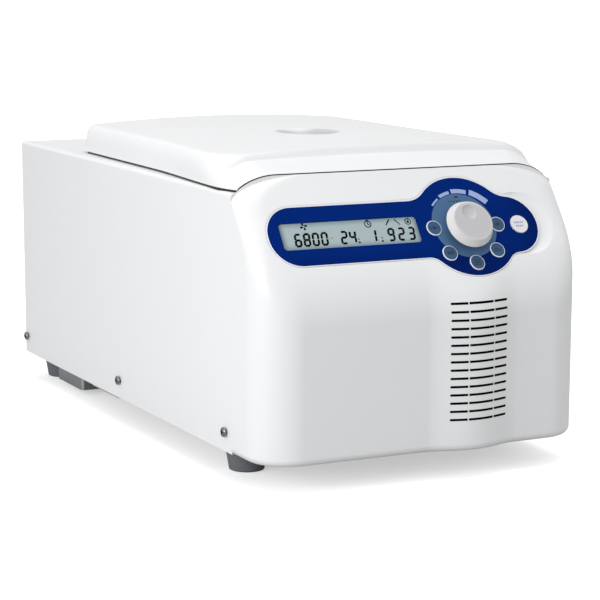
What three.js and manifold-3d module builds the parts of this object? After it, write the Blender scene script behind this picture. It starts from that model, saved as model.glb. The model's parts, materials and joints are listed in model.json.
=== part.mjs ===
// A refrigerated microcentrifuge: a bench instrument with a hinged lid over a cooled rotor chamber.
// Millimetres, +Z up, front towards -Y, origin on the bench under the middle of the body.

import * as THREE from "three";
import { mergeVertices } from "three/addons/utils/BufferGeometryUtils.js";
import Module from "manifold-3d";

const wasm = await Module();
wasm.setup();

// General fits
const fitGap = 0.3; // between fixed pieces that touch
const slideGap = 0.5; // round pieces that slide or turn
const overrun = 4; // how far a cut runs past the face that it opens
const weld = 0.0005; // vertices closer than this are one

// Cabinet
const cabinetWidth = 280;
const cabinetDepth = 520; // front face to the rear edge of the cover
const coverHeight = 198.3;
const footHeight = 22.5;
const sheet = 1.5;
const coverBend = 3;
const roundSides = 32; // facets of the large round pieces
const columnProud = 8.8; // vent column, in front of the front face
const exhaustProud = 8.8; // exhaust hood, behind the cover

const frontY = -(columnProud + cabinetDepth + exhaustProud) / 2 + columnProud;
const rearY = frontY + cabinetDepth;
const halfWidth = cabinetWidth / 2;
const baseZ = footHeight;
const coverTopZ = baseZ + coverHeight;
const insideX = halfWidth - sheet - fitGap; // clear half width inside the cover
const deckHalf = halfWidth - coverBend - fitGap; // clear half width under the cover's bends

// Front housing
const housingDepth = 58.5;
const housingWall = 3;
const housingCorner = 33; // plan radius of the upright front corners
const bottomRound = 6;
const lean = THREE.MathUtils.degToRad(35); // control slope, back from upright
const frontProud = 11.7; // top edge of the front, over the cover
const foldBlend = 11;
const shoulderRound = 28; // reach across the edge between the slope and the sides, at its top
const shoulderFrom = 8; // the same at the fold
const shoulderDepth = 14; // its reach along
const archWidth = 36; // rounded top corners of the parting line
const archDrop = 19;
const archPower = 1.8;
const lipDepth = 0.4; // flat top edge of the slope
const seamStep = 0.8; // lid's front edge over the housing's
const partingGap = 1.2; // between housing and lid

const seamY = frontY + housingDepth;
const slopeRun = Math.tan(lean); // how far the slope goes back for each unit up
const housingTopZ = coverTopZ + frontProud;
const foldZ = housingTopZ - (housingDepth - lipDepth) / slopeRun; // where the slope starts

// Vent column
const columnSetback = 104; // right side to the middle of the column
const columnHalf = 40;
const slotRows = 15;
const slotPitch = 6.36;
const slotHeight = 1.9;
const slotWidth = 51;
const slotShift = 3; // middle of the column to the middle of the slots
const slotTopDrop = 13; // fold line down to the top slot
const ribWidth = 0.9;
const ribSetback = 0.8;
const ribShares = [0.28, 0.73]; // places of the two ribs across a slot row

const columnX = halfWidth - columnSetback;
const slotX = columnX + slotShift;

// Finishes: colour, roughness, metalness
const finishes = {
  whitePaint: [0xf1f2f3, 0.38, 0],
  whitePlastic: [0xeef0f1, 0.32, 0],
  greyPlastic: [0xb9bdc0, 0.5, 0],
  lightGrey: [0xdcdde2, 0.4, 0],
  blueFilm: [0x002082, 0.35, 0],
  slateKey: [0x46698c, 0.4, 0],
  whiteKey: [0xf4f5f7, 0.35, 0],
  display: [0xc3d2d0, 0.3, 0],
  clear: [0xdfe8ea, 0.05, 0],
  rubber: [0x6f7276, 0.8, 0],
  darkRubber: [0x2b2d30, 0.85, 0],
  blackPlastic: [0x1c1d1f, 0.5, 0],
  steel: [0xb6babd, 0.35, 1],
  zinc: [0xa4a8ab, 0.45, 1],
  chrome: [0xd8dadc, 0.15, 1],
  aluminium: [0xc4c7ca, 0.4, 1],
  copper: [0xb8733c, 0.35, 1],
  board: [0x1d5a3a, 0.6, 0],
  foam: [0x36383b, 0.95, 0],
  insulation: [0xe6dfc8, 0.9, 0],
  blackPaint: [0x222326, 0.45, 0],
};

// Solids

function toSolid(geometry) {
  const bare = new THREE.BufferGeometry();
  bare.setAttribute("position", geometry.getAttribute("position"));
  bare.setIndex(geometry.getIndex());
  const merged = mergeVertices(bare, weld);
  const corners = merged.index.array;
  const kept = [];
  for (let i = 0; i < corners.length; i += 3) {
    const [a, b, c] = [corners[i], corners[i + 1], corners[i + 2]];
    if (a !== b && b !== c && c !== a) kept.push(a, b, c);
  }
  const vertProperties = new Float32Array(merged.attributes.position.array);
  const build = (triVerts) => new wasm.Manifold(new wasm.Mesh({ numProp: 3, vertProperties, triVerts }));
  const solid = build(new Uint32Array(kept));
  return solid.volume() < 0 ? build(new Uint32Array(kept.reverse())) : solid;
}

function toGeometry(solid) {
  const mesh = solid.getMesh();
  const geometry = new THREE.BufferGeometry();
  geometry.setAttribute("position", new THREE.BufferAttribute(new Float32Array(mesh.vertProperties), 3));
  geometry.setIndex(new THREE.BufferAttribute(new Uint32Array(mesh.triVerts), 1));
  const flat = geometry.toNonIndexed();
  flat.computeVertexNormals();
  return flat;
}

const join = (first, ...rest) => rest.reduce((sum, next) => sum.add(next), first);
const cut = (first, ...rest) => rest.reduce((left, next) => left.subtract(next), first);

// A solid of a geometry that has been moved to a place; turns are applied first.
function solidAt(geometry, [x, y, z] = [0, 0, 0]) {
  geometry.translate(x, y, z);
  return toSolid(geometry);
}

// A box between limits.
function block([x0, x1], [y0, y1], [z0, z1]) {
  const geometry = new THREE.BoxGeometry(x1 - x0, y1 - y0, z1 - z0);
  return solidAt(geometry, [(x0 + x1) / 2, (y0 + y1) / 2, (z0 + z1) / 2]);
}

// An upright cylinder or cone between two heights.
function rod(radius, [z0, z1], sides = 32, topRadius = radius) {
  const geometry = new THREE.CylinderGeometry(topRadius, radius, z1 - z0, sides);
  geometry.rotateX(Math.PI / 2);
  return solidAt(geometry, [0, 0, (z0 + z1) / 2]);
}

// A body of revolution about Z from a profile of [radius, height] points.
function turned(profile, sides = 32) {
  const geometry = new THREE.LatheGeometry(
    profile.map(([r, z]) => new THREE.Vector2(r, z)),
    sides,
  );
  geometry.rotateX(Math.PI / 2);
  return toSolid(geometry);
}

// A body of revolution from a closed ring profile, which does not touch the axis.
const turnedRing = (profile, sides = 32) => turned([...profile, profile[0]], sides);

const unitX = new THREE.Vector3(1, 0, 0);
const unitY = new THREE.Vector3(0, 1, 0);
const unitZ = new THREE.Vector3(0, 0, 1);
const alongX = new THREE.Matrix4().makeBasis(unitY, unitZ, unitX); // outline in Y and Z
const alongY = new THREE.Matrix4().makeBasis(unitX, unitZ, unitY); // outline in X and Z
const alongZ = new THREE.Matrix4(); // outline in X and Y

// An outline drawn out between two limits along an axis.
function extruded(shape, [from, to], frame = alongZ, curveSegments = 6) {
  const geometry = new THREE.ExtrudeGeometry(shape, {
    depth: to - from,
    bevelEnabled: false,
    curveSegments,
    steps: 1,
  });
  geometry.translate(0, 0, from);
  geometry.applyMatrix4(frame);
  return toSolid(geometry);
}

function roundRect([x0, x1], [y0, y1], radius) {
  const shape = new THREE.Shape();
  shape.absarc(x1 - radius, y1 - radius, radius, 0, Math.PI / 2);
  shape.absarc(x0 + radius, y1 - radius, radius, Math.PI / 2, Math.PI);
  shape.absarc(x0 + radius, y0 + radius, radius, Math.PI, 1.5 * Math.PI);
  shape.absarc(x1 - radius, y0 + radius, radius, 1.5 * Math.PI, 2 * Math.PI);
  shape.closePath();
  return shape;
}

// A closed solid through rings of equal count, with flat ends.
function loft(rings) {
  const count = rings[0].length;
  const faces = [];
  for (let i = 0; i + 1 < rings.length; i += 1) {
    for (let j = 0; j < count; j += 1) {
      const a = i * count + j;
      const b = i * count + ((j + 1) % count);
      faces.push(a, b, b + count, a, b + count, a + count);
    }
  }
  const capped = [0, rings.length - 1];
  for (const end of capped) {
    const ring = rings[end];
    const normal = new THREE.Vector3();
    ring.forEach((p, j) => {
      const q = ring[(j + 1) % count];
      normal.x += (p.y - q.y) * (p.z + q.z);
      normal.y += (p.z - q.z) * (p.x + q.x);
      normal.z += (p.x - q.x) * (p.y + q.y);
    });
    normal.normalize();
    const turn = new THREE.Quaternion().setFromUnitVectors(normal, new THREE.Vector3(0, 0, 1));
    const flat = ring.map((p) => {
      const q = p.clone().applyQuaternion(turn);
      return new THREE.Vector2(q.x, q.y);
    });
    for (const [a, b, c] of THREE.ShapeUtils.triangulateShape(flat, [])) {
      const corners = end ? [a, b, c] : [a, c, b];
      faces.push(...corners.map((corner) => corner + end * count));
    }
  }
  const geometry = new THREE.BufferGeometry().setFromPoints(rings.flat());
  geometry.setIndex(faces);
  return toSolid(geometry);
}

// A bar of round section along a rounded path.
function piped(points, radius, bend, sides = 6) {
  const path = new THREE.CurvePath();
  let from = points[0];
  for (let i = 1; i + 1 < points.length; i += 1) {
    const corner = points[i];
    const before = from.clone().sub(corner).setLength(bend).add(corner);
    const after = points[i + 1].clone().sub(corner).setLength(bend).add(corner);
    path.add(new THREE.LineCurve3(from, before));
    path.add(new THREE.QuadraticBezierCurve3(before, corner, after));
    from = after;
  }
  path.add(new THREE.LineCurve3(from, points[points.length - 1]));
  const section = new THREE.Shape(
    Array.from({ length: sides }, (unused, i) => {
      const angle = (2 * Math.PI * i) / sides;
      return new THREE.Vector2(radius * Math.cos(angle), radius * Math.sin(angle));
    }),
  );
  const geometry = new THREE.ExtrudeGeometry(section, {
    extrudePath: path,
    steps: 5 * points.length,
    bevelEnabled: false,
  });
  return toSolid(geometry);
}

const moved = (solid, x, y, z) => solid.translate([x, y, z]);

// Names and places the pieces

const root = new THREE.Group();

function add(name, solid, finish, parent = root) {
  const [color, roughness, metalness] = finishes[finish];
  const material = new THREE.MeshStandardMaterial({ color, roughness, metalness });
  const mesh = new THREE.Mesh(toGeometry(solid), material);
  mesh.name = name;
  parent.add(mesh);
  return mesh;
}

// Smooth limits

const softMax = (a, b, blend) => {
  const h = Math.max(blend - Math.abs(a - b), 0) / blend;
  return Math.max(a, b) + (h * h * blend) / 4;
};

// Share of the full height at a distance from an edge, for a rounded edge of the given reach.
const edgePower = 2.6;
const roundedShare = (distance, reach, power) => {
  const left = 1 - Math.min(Math.max(distance / reach, 0), 1);
  return (1 - left ** power) ** (1 / power);
};

// Front housing: level slices from the rounded bottom edge up over the control slope

const slopeY = (z) => frontY + (z - foldZ) * slopeRun;

// How far the vent column stands out at x.
function columnBulge(x) {
  const t = Math.min(Math.abs(x - columnX) / columnHalf, 1);
  return columnProud * (1 - t * t) ** 2;
}

// Half width of the housing at a height, with the rounded top corners of the parting line.
function archHalf(z) {
  const t = Math.min(Math.max((z - housingTopZ) / archDrop + 1, 0), 1);
  return halfWidth - archWidth * (1 - (1 - t ** archPower) ** (1 / archPower));
}

// Reach across the edge between the slope and a side, growing up the slope.
function shoulderReach(z) {
  const rise = Math.min(Math.max((z - foldZ) / (housingTopZ - foldZ), 0), 1);
  return shoulderFrom + (shoulderRound - shoulderFrom) * rise * Math.sqrt(rise);
}

// How far a quarter ellipse falls back from its start, at a distance past that start.
const fallBack = (past, wide, deep) => deep * (1 - Math.sqrt(1 - Math.min(Math.max(past / wide, 0), 1) ** 2));

const cornerSteps = 6;
const bulgeSteps = 8;
const innerSteps = 4;

function housingSlice(z, inset, rounding, backY) {
  const side = archHalf(z) - inset - rounding;
  const round = housingCorner - inset - rounding;
  const reach = Math.max(shoulderReach(z) - inset - rounding, fitGap);
  const deep = Math.max(shoulderDepth - inset - rounding, fitGap);
  const slope = slopeY(z) + inset;
  const limit = seamY - fitGap;
  const corner = [];
  for (let i = 0; i <= cornerSteps; i += 1) {
    const angle = ((i / cornerSteps) * Math.PI) / 2;
    const x = side - Math.min(round, side - columnX - columnHalf - sheet) * (1 - Math.cos(angle));
    const upright = frontY + inset + rounding + fallBack(x - side + round, round, round);
    const edge = slope + fallBack(x - side + reach, reach, deep);
    corner.push([x, Math.min(Math.max(softMax(upright, slope, foldBlend), edge), limit)]);
  }
  const ring = [new THREE.Vector3(-side, backY, z)];
  corner.forEach(([x, y]) => ring.push(new THREE.Vector3(-x, y, z)));
  const steps = inset ? innerSteps : bulgeSteps;
  for (let i = 0; i <= steps; i += 1) {
    const x = columnX + columnHalf * ((2 * i) / steps - 1);
    const upright = frontY - columnBulge(x) + inset + rounding;
    ring.push(new THREE.Vector3(x, softMax(upright, slopeY(z) + inset, foldBlend), z));
  }
  corner.reverse().forEach(([x, y]) => ring.push(new THREE.Vector3(x, y, z)));
  ring.push(new THREE.Vector3(side, backY, z));
  return ring;
}

const levels = (from, to, steps) =>
  Array.from({ length: steps }, (unused, i) => from + ((to - from) * (i + 1)) / steps);

function housingBody(inset, topZ, backY) {
  const bottom = baseZ + inset;
  const round = bottomRound - inset;
  const roundSteps = inset ? 1 : 2;
  const slices = [];
  for (let i = 0; i <= roundSteps; i += 1) {
    const angle = ((i / roundSteps) * Math.PI) / 2;
    slices.push(
      housingSlice(bottom + round * (1 - Math.cos(angle)), inset, round * (1 - Math.sin(angle)), backY),
    );
  }
  const foldFrom = foldZ - (columnProud + foldBlend) / slopeRun;
  const foldTo = foldZ + foldBlend / slopeRun;
  const archFrom = Math.min(housingTopZ - archDrop, topZ - fitGap);
  const [foldSteps, slopeSteps, archSteps] = inset ? [4, 1, 1] : [8, 3, 6];
  const heights = [
    foldFrom,
    ...levels(foldFrom, foldTo, foldSteps),
    ...levels(foldTo, archFrom, slopeSteps),
    ...levels(archFrom, topZ, archSteps),
  ];
  heights.forEach((z) => slices.push(housingSlice(z, inset, 0, backY)));
  return loft(slices);
}

// Chamber deck, bowl and cover opening

const deckThick = 3;
const deckTopZ = coverTopZ - sheet - fitGap;
const deckBottomZ = deckTopZ - deckThick;
const chamberGap = 34; // parting line to the chamber's foam
const chamberMargin = 21; // inside of the cover to the chamber's foam, at the sides
const bowlWall = 1.5;
const bowlDepth = 88;
const bowlCorner = 12;
const bowlFlange = 5.5;
const flangeThick = 1.2;
const bowlHole = 24;
const bowlBendShare = 0.3; // middle of the bowl's bend, as a share of its radius
const foamWall = 19;
const foamFloor = 14;
const gasketWidth = 6;
const gasketMargin = 2; // bowl's flange to the gasket
const openingMargin = 7; // gasket to the sides of the cover's opening

const foamRadius = halfWidth - sheet - chamberMargin;
const chamberY = seamY + chamberGap + foamRadius;
const bowlOuter = foamRadius - foamWall;
const bowlRadius = bowlOuter - bowlWall;
const flangeRadius = bowlOuter + bowlFlange;
const gasketRadius = flangeRadius + gasketMargin + gasketWidth / 2;
const coverOpeningHalf = gasketRadius + gasketWidth / 2 + openingMargin;
const bowlFloorZ = deckTopZ - bowlDepth;
const foamBottomZ = bowlFloorZ - bowlWall - fitGap - foamFloor;

// Lid

const lidGap = 1.7; // over the cover
const lidWaist = 10.8; // how far the sides draw in behind the front
const lidTaper = 3; // how much further they do at the rear
const lidWaistLength = 185; // front of the lid to where the sides are narrowest
const lidLength = 348;
const lidEdge = 0.8; // upright strip at the bottom edge
const lidShoulder = 22.5; // cover top to the crease along the sides
const lidCrown = 5.5;
const crownPower = 2;
const sideRound = 8; // reach of the rounded edge along the sides
const rearRound = 18;
const rearCorner = 22;
const lidWall = 3;
const facetRun = 23;
const facetRise = 11.2;
const facetPower = 0.85;
const stepRun = 4;
const stepRise = 4.6;

const lidMidHalf = halfWidth - lidWaist;
const lidRearHalf = lidMidHalf - lidTaper;
const lidBottomZ = coverTopZ + lidGap;
const lidFrontY = seamY + partingGap;
const lidRearY = lidFrontY + lidLength;
const lidSeamZ = housingTopZ + seamStep;
const creaseZ = lidBottomZ + lidShoulder;

// Half width of the lid in plan, at a distance behind its front.
function lidHalf(back) {
  const t = Math.min(back / lidWaistLength, 1);
  const ease = t * t * (3 - 2 * t);
  const waist = THREE.MathUtils.lerp(halfWidth, lidMidHalf, ease);
  const tail = Math.max(back - lidWaistLength, 0) / (lidLength - lidWaistLength);
  const corner = Math.max(rearCorner - (lidLength - back), 0);
  const rounding = rearCorner - Math.sqrt(rearCorner ** 2 - corner ** 2);
  return waist - lidTaper * tail - rounding;
}

// Height of the lid's spine at a distance behind its front: sloping facet, step and crowned top.
function spineZ(back) {
  const facet = facetRise * Math.min(back / facetRun, 1) ** facetPower;
  const step = stepRise * THREE.MathUtils.smoothstep(back, facetRun, facetRun + stepRun);
  const rest = creaseZ + lidCrown - lidSeamZ - facetRise - stepRise;
  return lidSeamZ + facet + step + rest * THREE.MathUtils.smoothstep(back, facetRun, lidWaistLength);
}

// How much of the front's soft corner is left at a distance behind the front.
const frontReach = 69; // front of the lid to where its soft corner has gone
const frontShare = (back) => 1 - THREE.MathUtils.smoothstep(back, 0, frontReach);
const edgeReach = (back) => THREE.MathUtils.lerp(sideRound, archWidth, frontShare(back));

// Height of the lid's outer face.
function lidZ(x, back) {
  const half = lidHalf(back);
  const floor = lidBottomZ + lidEdge;
  const base = THREE.MathUtils.lerp(floor, lidSeamZ - archDrop, frontShare(back));
  const power = THREE.MathUtils.lerp(edgePower, 2, frontShare(back));
  const peak = spineZ(back);
  const sideTop = Math.min(creaseZ, peak);
  const spread = Math.min(Math.abs(x) / half, 1);
  const crown = sideTop + (peak - sideTop) * (1 - spread ** crownPower);
  const side = base + (crown - base) * roundedShare(half - Math.abs(x), edgeReach(back), power);
  return floor + Math.max(side - floor, 0) * roundedShare(lidLength - back, rearRound, edgePower);
}

const edgeShares = [0, 0.03, 0.1, 0.24, 0.46, 0.72, 1]; // places across a rounded edge
const innerShares = [0, 0.1, 0.4, 1];
const middleShares = [0.7, 0.3]; // places from the rounded edge in to the middle

function lidStation(back, inset, bottomZ) {
  const half = lidHalf(back) - inset;
  const reach = edgeReach(back);
  const edge = (inset ? innerShares : edgeShares).map((share) => half - share * reach);
  const middle = middleShares.map((share) => share * (half - reach));
  const right = [...edge, ...middle];
  const y = lidFrontY + back;
  const ring = [...right, ...right.map((x) => -x).reverse()].map(
    (x) => new THREE.Vector3(x, y, Math.max(lidZ((x * lidHalf(back)) / half, back) - inset, bottomZ + fitGap)),
  );
  ring.push(new THREE.Vector3(-half, y, bottomZ));
  ring.push(new THREE.Vector3(half, y, bottomZ));
  return ring;
}

const facetShares = [0, 0.08, 0.24, 0.5, 0.76, 1];
const stepShares = [0.5, 1];
const waistShares = [0.14, 0.36, 0.62, 1];
const rearShares = [1, 0.55, 0.24, 0.06, 0];

function lidBody(inset, bottomZ) {
  const waistFrom = facetRun + stepRun;
  const distances = [
    ...facetShares.map((share) => facetRun * share),
    ...stepShares.map((share) => facetRun + stepRun * share),
    ...waistShares.map((share) => waistFrom + (lidWaistLength - waistFrom) * share),
    ...rearShares.map((share) => lidLength - rearCorner * share),
  ];
  const within = distances.filter((back) => back > inset && back < lidLength - inset);
  const backs = inset ? [inset, ...within, lidLength - inset] : distances;
  return loft(backs.map((back) => lidStation(back, inset, bottomZ)));
}

// Cabinet shell

function coverOutline() {
  const low = baseZ;
  const high = coverTopZ - coverBend;
  const corner = halfWidth - coverBend;
  const inner = coverBend - sheet;
  const shape = new THREE.Shape();
  shape.moveTo(-halfWidth, low);
  shape.absarc(-corner, high, coverBend, Math.PI, Math.PI / 2, true);
  shape.absarc(corner, high, coverBend, Math.PI / 2, 0, true);
  shape.lineTo(halfWidth, low);
  shape.lineTo(halfWidth - sheet, low);
  shape.absarc(corner, high, inner, 0, Math.PI / 2);
  shape.absarc(-corner, high, inner, Math.PI / 2, Math.PI);
  shape.lineTo(sheet - halfWidth, low);
  return shape;
}

const screwLift = 15.5; // base to the side screws
const screwFront = 12; // parting line to the front screws
const screwRear = 6.5; // rear edge of the cover to the rear screws
const screwShares = [0, 0.483, 1]; // places of the three screws between those
const screwHole = 2.3;
const screwHead = 3.9;
const screwProud = 1.8;
const screwShank = 2;
const screwLength = 9;
const screwRimShare = 0.35; // upright rim, of the head's height
const screwCrownShare = 0.6; // flat crown and cross, of the head's radius
const screwBladeShare = 0.13; // half width of the cross, of the head's radius
const screwCrossShare = 0.5; // floor of the cross, of the head's height
const coverOpeningLength = 326;
const screwZ = baseZ + screwLift;
const screwYs = screwShares.map((share) => THREE.MathUtils.lerp(seamY + screwFront, rearY - screwRear, share));

const holeX = (radius, limits, y, z, sides = 10) => {
  const geometry = new THREE.CylinderGeometry(radius, radius, limits[1] - limits[0], sides);
  geometry.rotateZ(Math.PI / 2);
  return solidAt(geometry, [(limits[0] + limits[1]) / 2, y, z]);
};

const rodY = (radius, limits, x, z, sides = 24) => {
  const geometry = new THREE.CylinderGeometry(radius, radius, limits[1] - limits[0], sides);
  return solidAt(geometry, [x, (limits[0] + limits[1]) / 2, z]);
};

const screwHoles = screwYs.map((y) => holeX(screwHole, [-halfWidth - overrun, halfWidth + overrun], y, screwZ));

const coverFrontY = seamY + fitGap;
add(
  "cabinet_cover",
  cut(
    extruded(coverOutline(), [coverFrontY, rearY], alongY, 4),
    block(
      [-coverOpeningHalf, coverOpeningHalf],
      [coverFrontY - overrun, coverFrontY + coverOpeningLength],
      [deckTopZ, coverTopZ + overrun],
    ),
    ...screwHoles,
  ),
  "whitePaint",
);

// Base pan: floor with a turned-up flange on three sides

const flangeHeight = 24;
const panelInset = 1; // rear panel, inside the cover's rear edge
const panelFrontY = rearY - panelInset - sheet;
const panRearY = panelFrontY - fitGap;
const panelBottomZ = baseZ + sheet + fitGap;

add(
  "base_pan",
  cut(
    block([-insideX, insideX], [coverFrontY, panRearY], [baseZ, baseZ + flangeHeight]),
    block(
      [sheet - insideX, insideX - sheet],
      [coverFrontY - overrun, panRearY - sheet],
      [baseZ + sheet, baseZ + flangeHeight + overrun],
    ),
    ...screwHoles,
  ),
  "zinc",
);

// Side screws, three on each side

const screwBody = (() => {
  const crown = screwHead * screwCrownShare;
  const thin = screwHead * screwBladeShare;
  const depth = screwProud * screwCrossShare;
  const dome = turned([
    [0, 0],
    [screwHead, 0],
    [screwHead, screwProud * screwRimShare],
    [crown, screwProud],
    [0, screwProud],
  ], 10);
  const slot = block([-crown, crown], [-thin, thin], [depth, screwProud + overrun]);
  const cross = block([-thin, thin], [-crown, crown], [depth, screwProud + overrun]);
  return join(cut(dome, slot, cross), rod(screwShank, [-screwLength, depth / 2], 6));
})();

for (const [side, sign] of [["left", -1], ["right", 1]]) {
  screwYs.forEach((y, i) => {
    const screw = add(`side_screw_${side}_${i + 1}`, screwBody, "chrome");
    screw.position.set(sign * (halfWidth + fitGap), y, screwZ);
    screw.rotation.y = (sign * Math.PI) / 2;
  });
}

// Feet

const footInset = 32; // side of the cover to the feet
const footFrontSetback = 98; // front face to the front feet
const footRearSetback = 17; // rear edge to the rear feet
const footBottom = 14;
const footTop = 17.5;
const footRecess = 5.5;
const footRecessDepth = 9;
const footEdge = 1;

const footX = halfWidth - footInset;
const footTopZ = footHeight - fitGap;
const foot = turned([
  [0, footRecessDepth],
  [footRecess, footRecessDepth],
  [footRecess, 0],
  [footBottom - footEdge, 0],
  [footBottom, footEdge],
  [footTop, footTopZ - footEdge],
  [footTop - footEdge, footTopZ],
  [0, footTopZ],
], 16);
for (const [side, sign] of [["left", -1], ["right", 1]]) {
  add(`foot_front_${side}`, foot, "rubber").position.set(sign * footX, frontY + footFrontSetback, 0);
  add(`foot_rear_${side}`, foot, "rubber").position.set(sign * footX, rearY - footRearSetback, 0);
}

// Trays under the base, at the rear left

const traySide = 13; // left side of the cover to the trays
const trayWidth = 87;
const trayBack = 54; // rear edge of the cover to the trays
const drainLength = 62;
const condensateLength = 65;
const condensateLift = 9.5;
const drainLift = 5;
const trayStep = 9; // how much further in the front one starts
const trayCorner = 3;

const trayLeft = traySide - halfWidth;
const trayRight = trayLeft + trayWidth;
const trayRear = rearY - trayBack;
const traySplit = trayRear - drainLength;
const trayTopZ = baseZ - fitGap;
const tray = (xs, ys, lift) =>
  cut(
    extruded(roundRect(xs, ys, trayCorner), [lift, trayTopZ], alongZ, 2),
    block([xs[0] + sheet, xs[1] - sheet], [ys[0] + sheet, ys[1] - sheet], [lift + sheet, trayTopZ + overrun]),
  );
add("drain_tray", tray([trayLeft, trayRight], [traySplit + fitGap, trayRear], drainLift), "zinc");
add(
  "condensate_duct",
  tray([trayLeft + trayStep, trayRight], [traySplit - condensateLength, traySplit], condensateLift),
  "greyPlastic",
);

// Control slope: everything here is drawn in the slope's own frame, +Y up the slope, +Z out

const panelRise = 2; // up the slope
const panelShift = 0.4; // to the left
const panel = new THREE.Group();
panel.position.set(-panelShift, frontY + panelRise * Math.sin(lean), foldZ + panelRise * Math.cos(lean));
panel.rotation.x = Math.PI / 2 - lean;
panel.updateMatrix();
root.add(panel);

const onPanel = (solid) => solid.transform(panel.matrix.elements);

const barSetback = 16.7; // left side to the bar
const barLow = 22.9;
const barHigh = 71.8;
const barRound = 23.5;
const lobeSetback = 94.7; // right side to the middle of the knob's lobe
const lobeHigh = 47.6;
const knobLobeRadius = 42.4;
const endOffset = [39, -0.7]; // from the middle of the knob's lobe
const endLobeRadius = 24.4;
const scoopOffset = [50.3, -0.2];
const scoopRadius = 27.4;
const upperFillet = 22;
const lowerFillet = 13;

const barLeft = barSetback - halfWidth;
const knobLobe = [halfWidth - lobeSetback, lobeHigh];
const offLobe = ([x, y]) => [knobLobe[0] + x, knobLobe[1] + y];
const endLobe = offLobe(endOffset);
const scoop = offLobe(scoopOffset);

const angleTo = (from, to) => Math.atan2(to[1] - from[1], to[0] - from[0]);

// Points of an arc, turning clockwise when turn is negative.
function arcPoints(centre, radius, from, to, steps, turn = 1) {
  const full = 2 * Math.PI;
  const sweep = turn * ((((to - from) * turn) % full) + full) % full;
  return Array.from({ length: steps + 1 }, (unused, i) => {
    const angle = from + (turn * Math.abs(sweep) * i) / steps;
    return new THREE.Vector2(centre[0] + radius * Math.cos(angle), centre[1] + radius * Math.sin(angle));
  });
}

// The point at one distance from a first centre and at another from a second, on the given side.
function meeting(first, near, second, far, side) {
  const gap = Math.hypot(second[0] - first[0], second[1] - first[1]);
  const along = (near ** 2 - far ** 2 + gap ** 2) / (2 * gap);
  const off = side * Math.sqrt(near ** 2 - along ** 2);
  const [ux, uy] = [(second[0] - first[0]) / gap, (second[1] - first[1]) / gap];
  return [first[0] + ux * along - uy * off, first[1] + uy * along + ux * off];
}

// Outline of the control film, grown outwards, with its end lobe where asked.
function filmOutline(grow, end = endLobe, endRadius = endLobeRadius) {
  const [low, high, left] = [barLow - grow, barHigh + grow, barLeft - grow];
  const [round, big, small] = [barRound + grow, knobLobeRadius + grow, endRadius + grow];
  const [upper, lower] = [upperFillet - grow, lowerFillet - grow];
  const besideBar = (y, fillet) => {
    const off = Math.sqrt((big + fillet) ** 2 - (y - knobLobe[1]) ** 2);
    return [knobLobe[0] - off, y];
  };
  const lowLeft = besideBar(low - lower, lower);
  const highLeft = besideBar(high + upper, upper);
  const lowRight = meeting(knobLobe, big + lower, end, small + lower, -1);
  const highRight = meeting(knobLobe, big + upper, end, small + upper, 1);
  return [
    ...arcPoints([left + round, low + round], round, Math.PI, 1.5 * Math.PI, 6),
    ...arcPoints(lowLeft, lower, Math.PI / 2, angleTo(lowLeft, knobLobe), 4, -1),
    ...arcPoints(knobLobe, big, angleTo(knobLobe, lowLeft), angleTo(knobLobe, lowRight), 12),
    ...arcPoints(lowRight, lower, angleTo(lowRight, knobLobe), angleTo(lowRight, end), 4, -1),
    ...arcPoints(end, small, angleTo(end, lowRight), angleTo(end, highRight), 12),
    ...arcPoints(highRight, upper, angleTo(highRight, end), angleTo(highRight, knobLobe), 4, -1),
    ...arcPoints(knobLobe, big, angleTo(knobLobe, highRight), angleTo(knobLobe, highLeft), 12),
    ...arcPoints(highLeft, upper, angleTo(highLeft, knobLobe), -Math.PI / 2, 4, -1),
    ...arcPoints([left + round, high - round], round, Math.PI / 2, Math.PI, 6),
  ];
}

const pocketDepth = 1.3;
const pocketBevel = 1.8;
const filmThick = 0.9;

const outlineRing = (outline, z) => outline.map((p) => new THREE.Vector3(p.x, p.y, z));
const pocketRim = filmOutline(pocketBevel, scoop, scoopRadius - pocketBevel);
const filmPocket = loft([
  outlineRing(filmOutline(fitGap), -pocketDepth),
  outlineRing(pocketRim, 0),
  outlineRing(pocketRim, overrun),
]);

const screenInset = 10.5; // left end of the bar to the display
const screenEnd = 41.9; // display to the middle of the knob's lobe
const screenY = [36.6, 58.8];
const screenCorner = 3;
const dialOffset = [-0.6, -3.1]; // middle of the ring of keys
const knobOffset = [-0.9, -1.9];
const keyCount = 5;
const keyCircle = 28.3;
const keyRadius = 6.3;
const keyStep = THREE.MathUtils.degToRad(48);
const startOffset = [47.1, -1.2];
const startKeyRadius = 7.6;
const keyClearance = 0.35;
const keyTravel = 0.7;
const keyProud = 0.5;
const keyEdge = 0.2;
const stemRadius = 3.2;
const stemClear = 1; // pressed stem to its switch
const bushRadius = 5;

const screenX = [barLeft + screenInset, knobLobe[0] - screenEnd];
const dialCentre = offLobe(dialOffset);
const knobCentre = offLobe(knobOffset);
const startKey = offLobe(startOffset);
const keys = Array.from({ length: keyCount }, (unused, i) => {
  const angle = -Math.PI / 2 + (i - (keyCount - 1) / 2) * keyStep;
  return [dialCentre[0] + keyCircle * Math.cos(angle), dialCentre[1] + keyCircle * Math.sin(angle)];
});

const screenHole = (grow) =>
  roundRect([screenX[0] - grow, screenX[1] + grow], [screenY[0] - grow, screenY[1] + grow], screenCorner);

const throughWall = [-pocketDepth - housingWall - 2 * overrun, overrun];
const at = (solid, [x, y]) => moved(solid, x, y, 0);

// Front housing

const boardDepth = 10.4; // slope to the front of the control board
const bossRadius = 3.6;
const boardLeft = 22; // left side to the board
const boardRight = 28; // right side to the board
const boardY = [12, 80];
const bossInset = 5;

const boardX = [boardLeft - halfWidth, halfWidth - boardRight];
const bossPlaces = boardX.flatMap((x, i) =>
  boardY.map((y, j) => [x + (i ? -bossInset : bossInset), y + (j ? -bossInset : bossInset)]),
);

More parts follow.
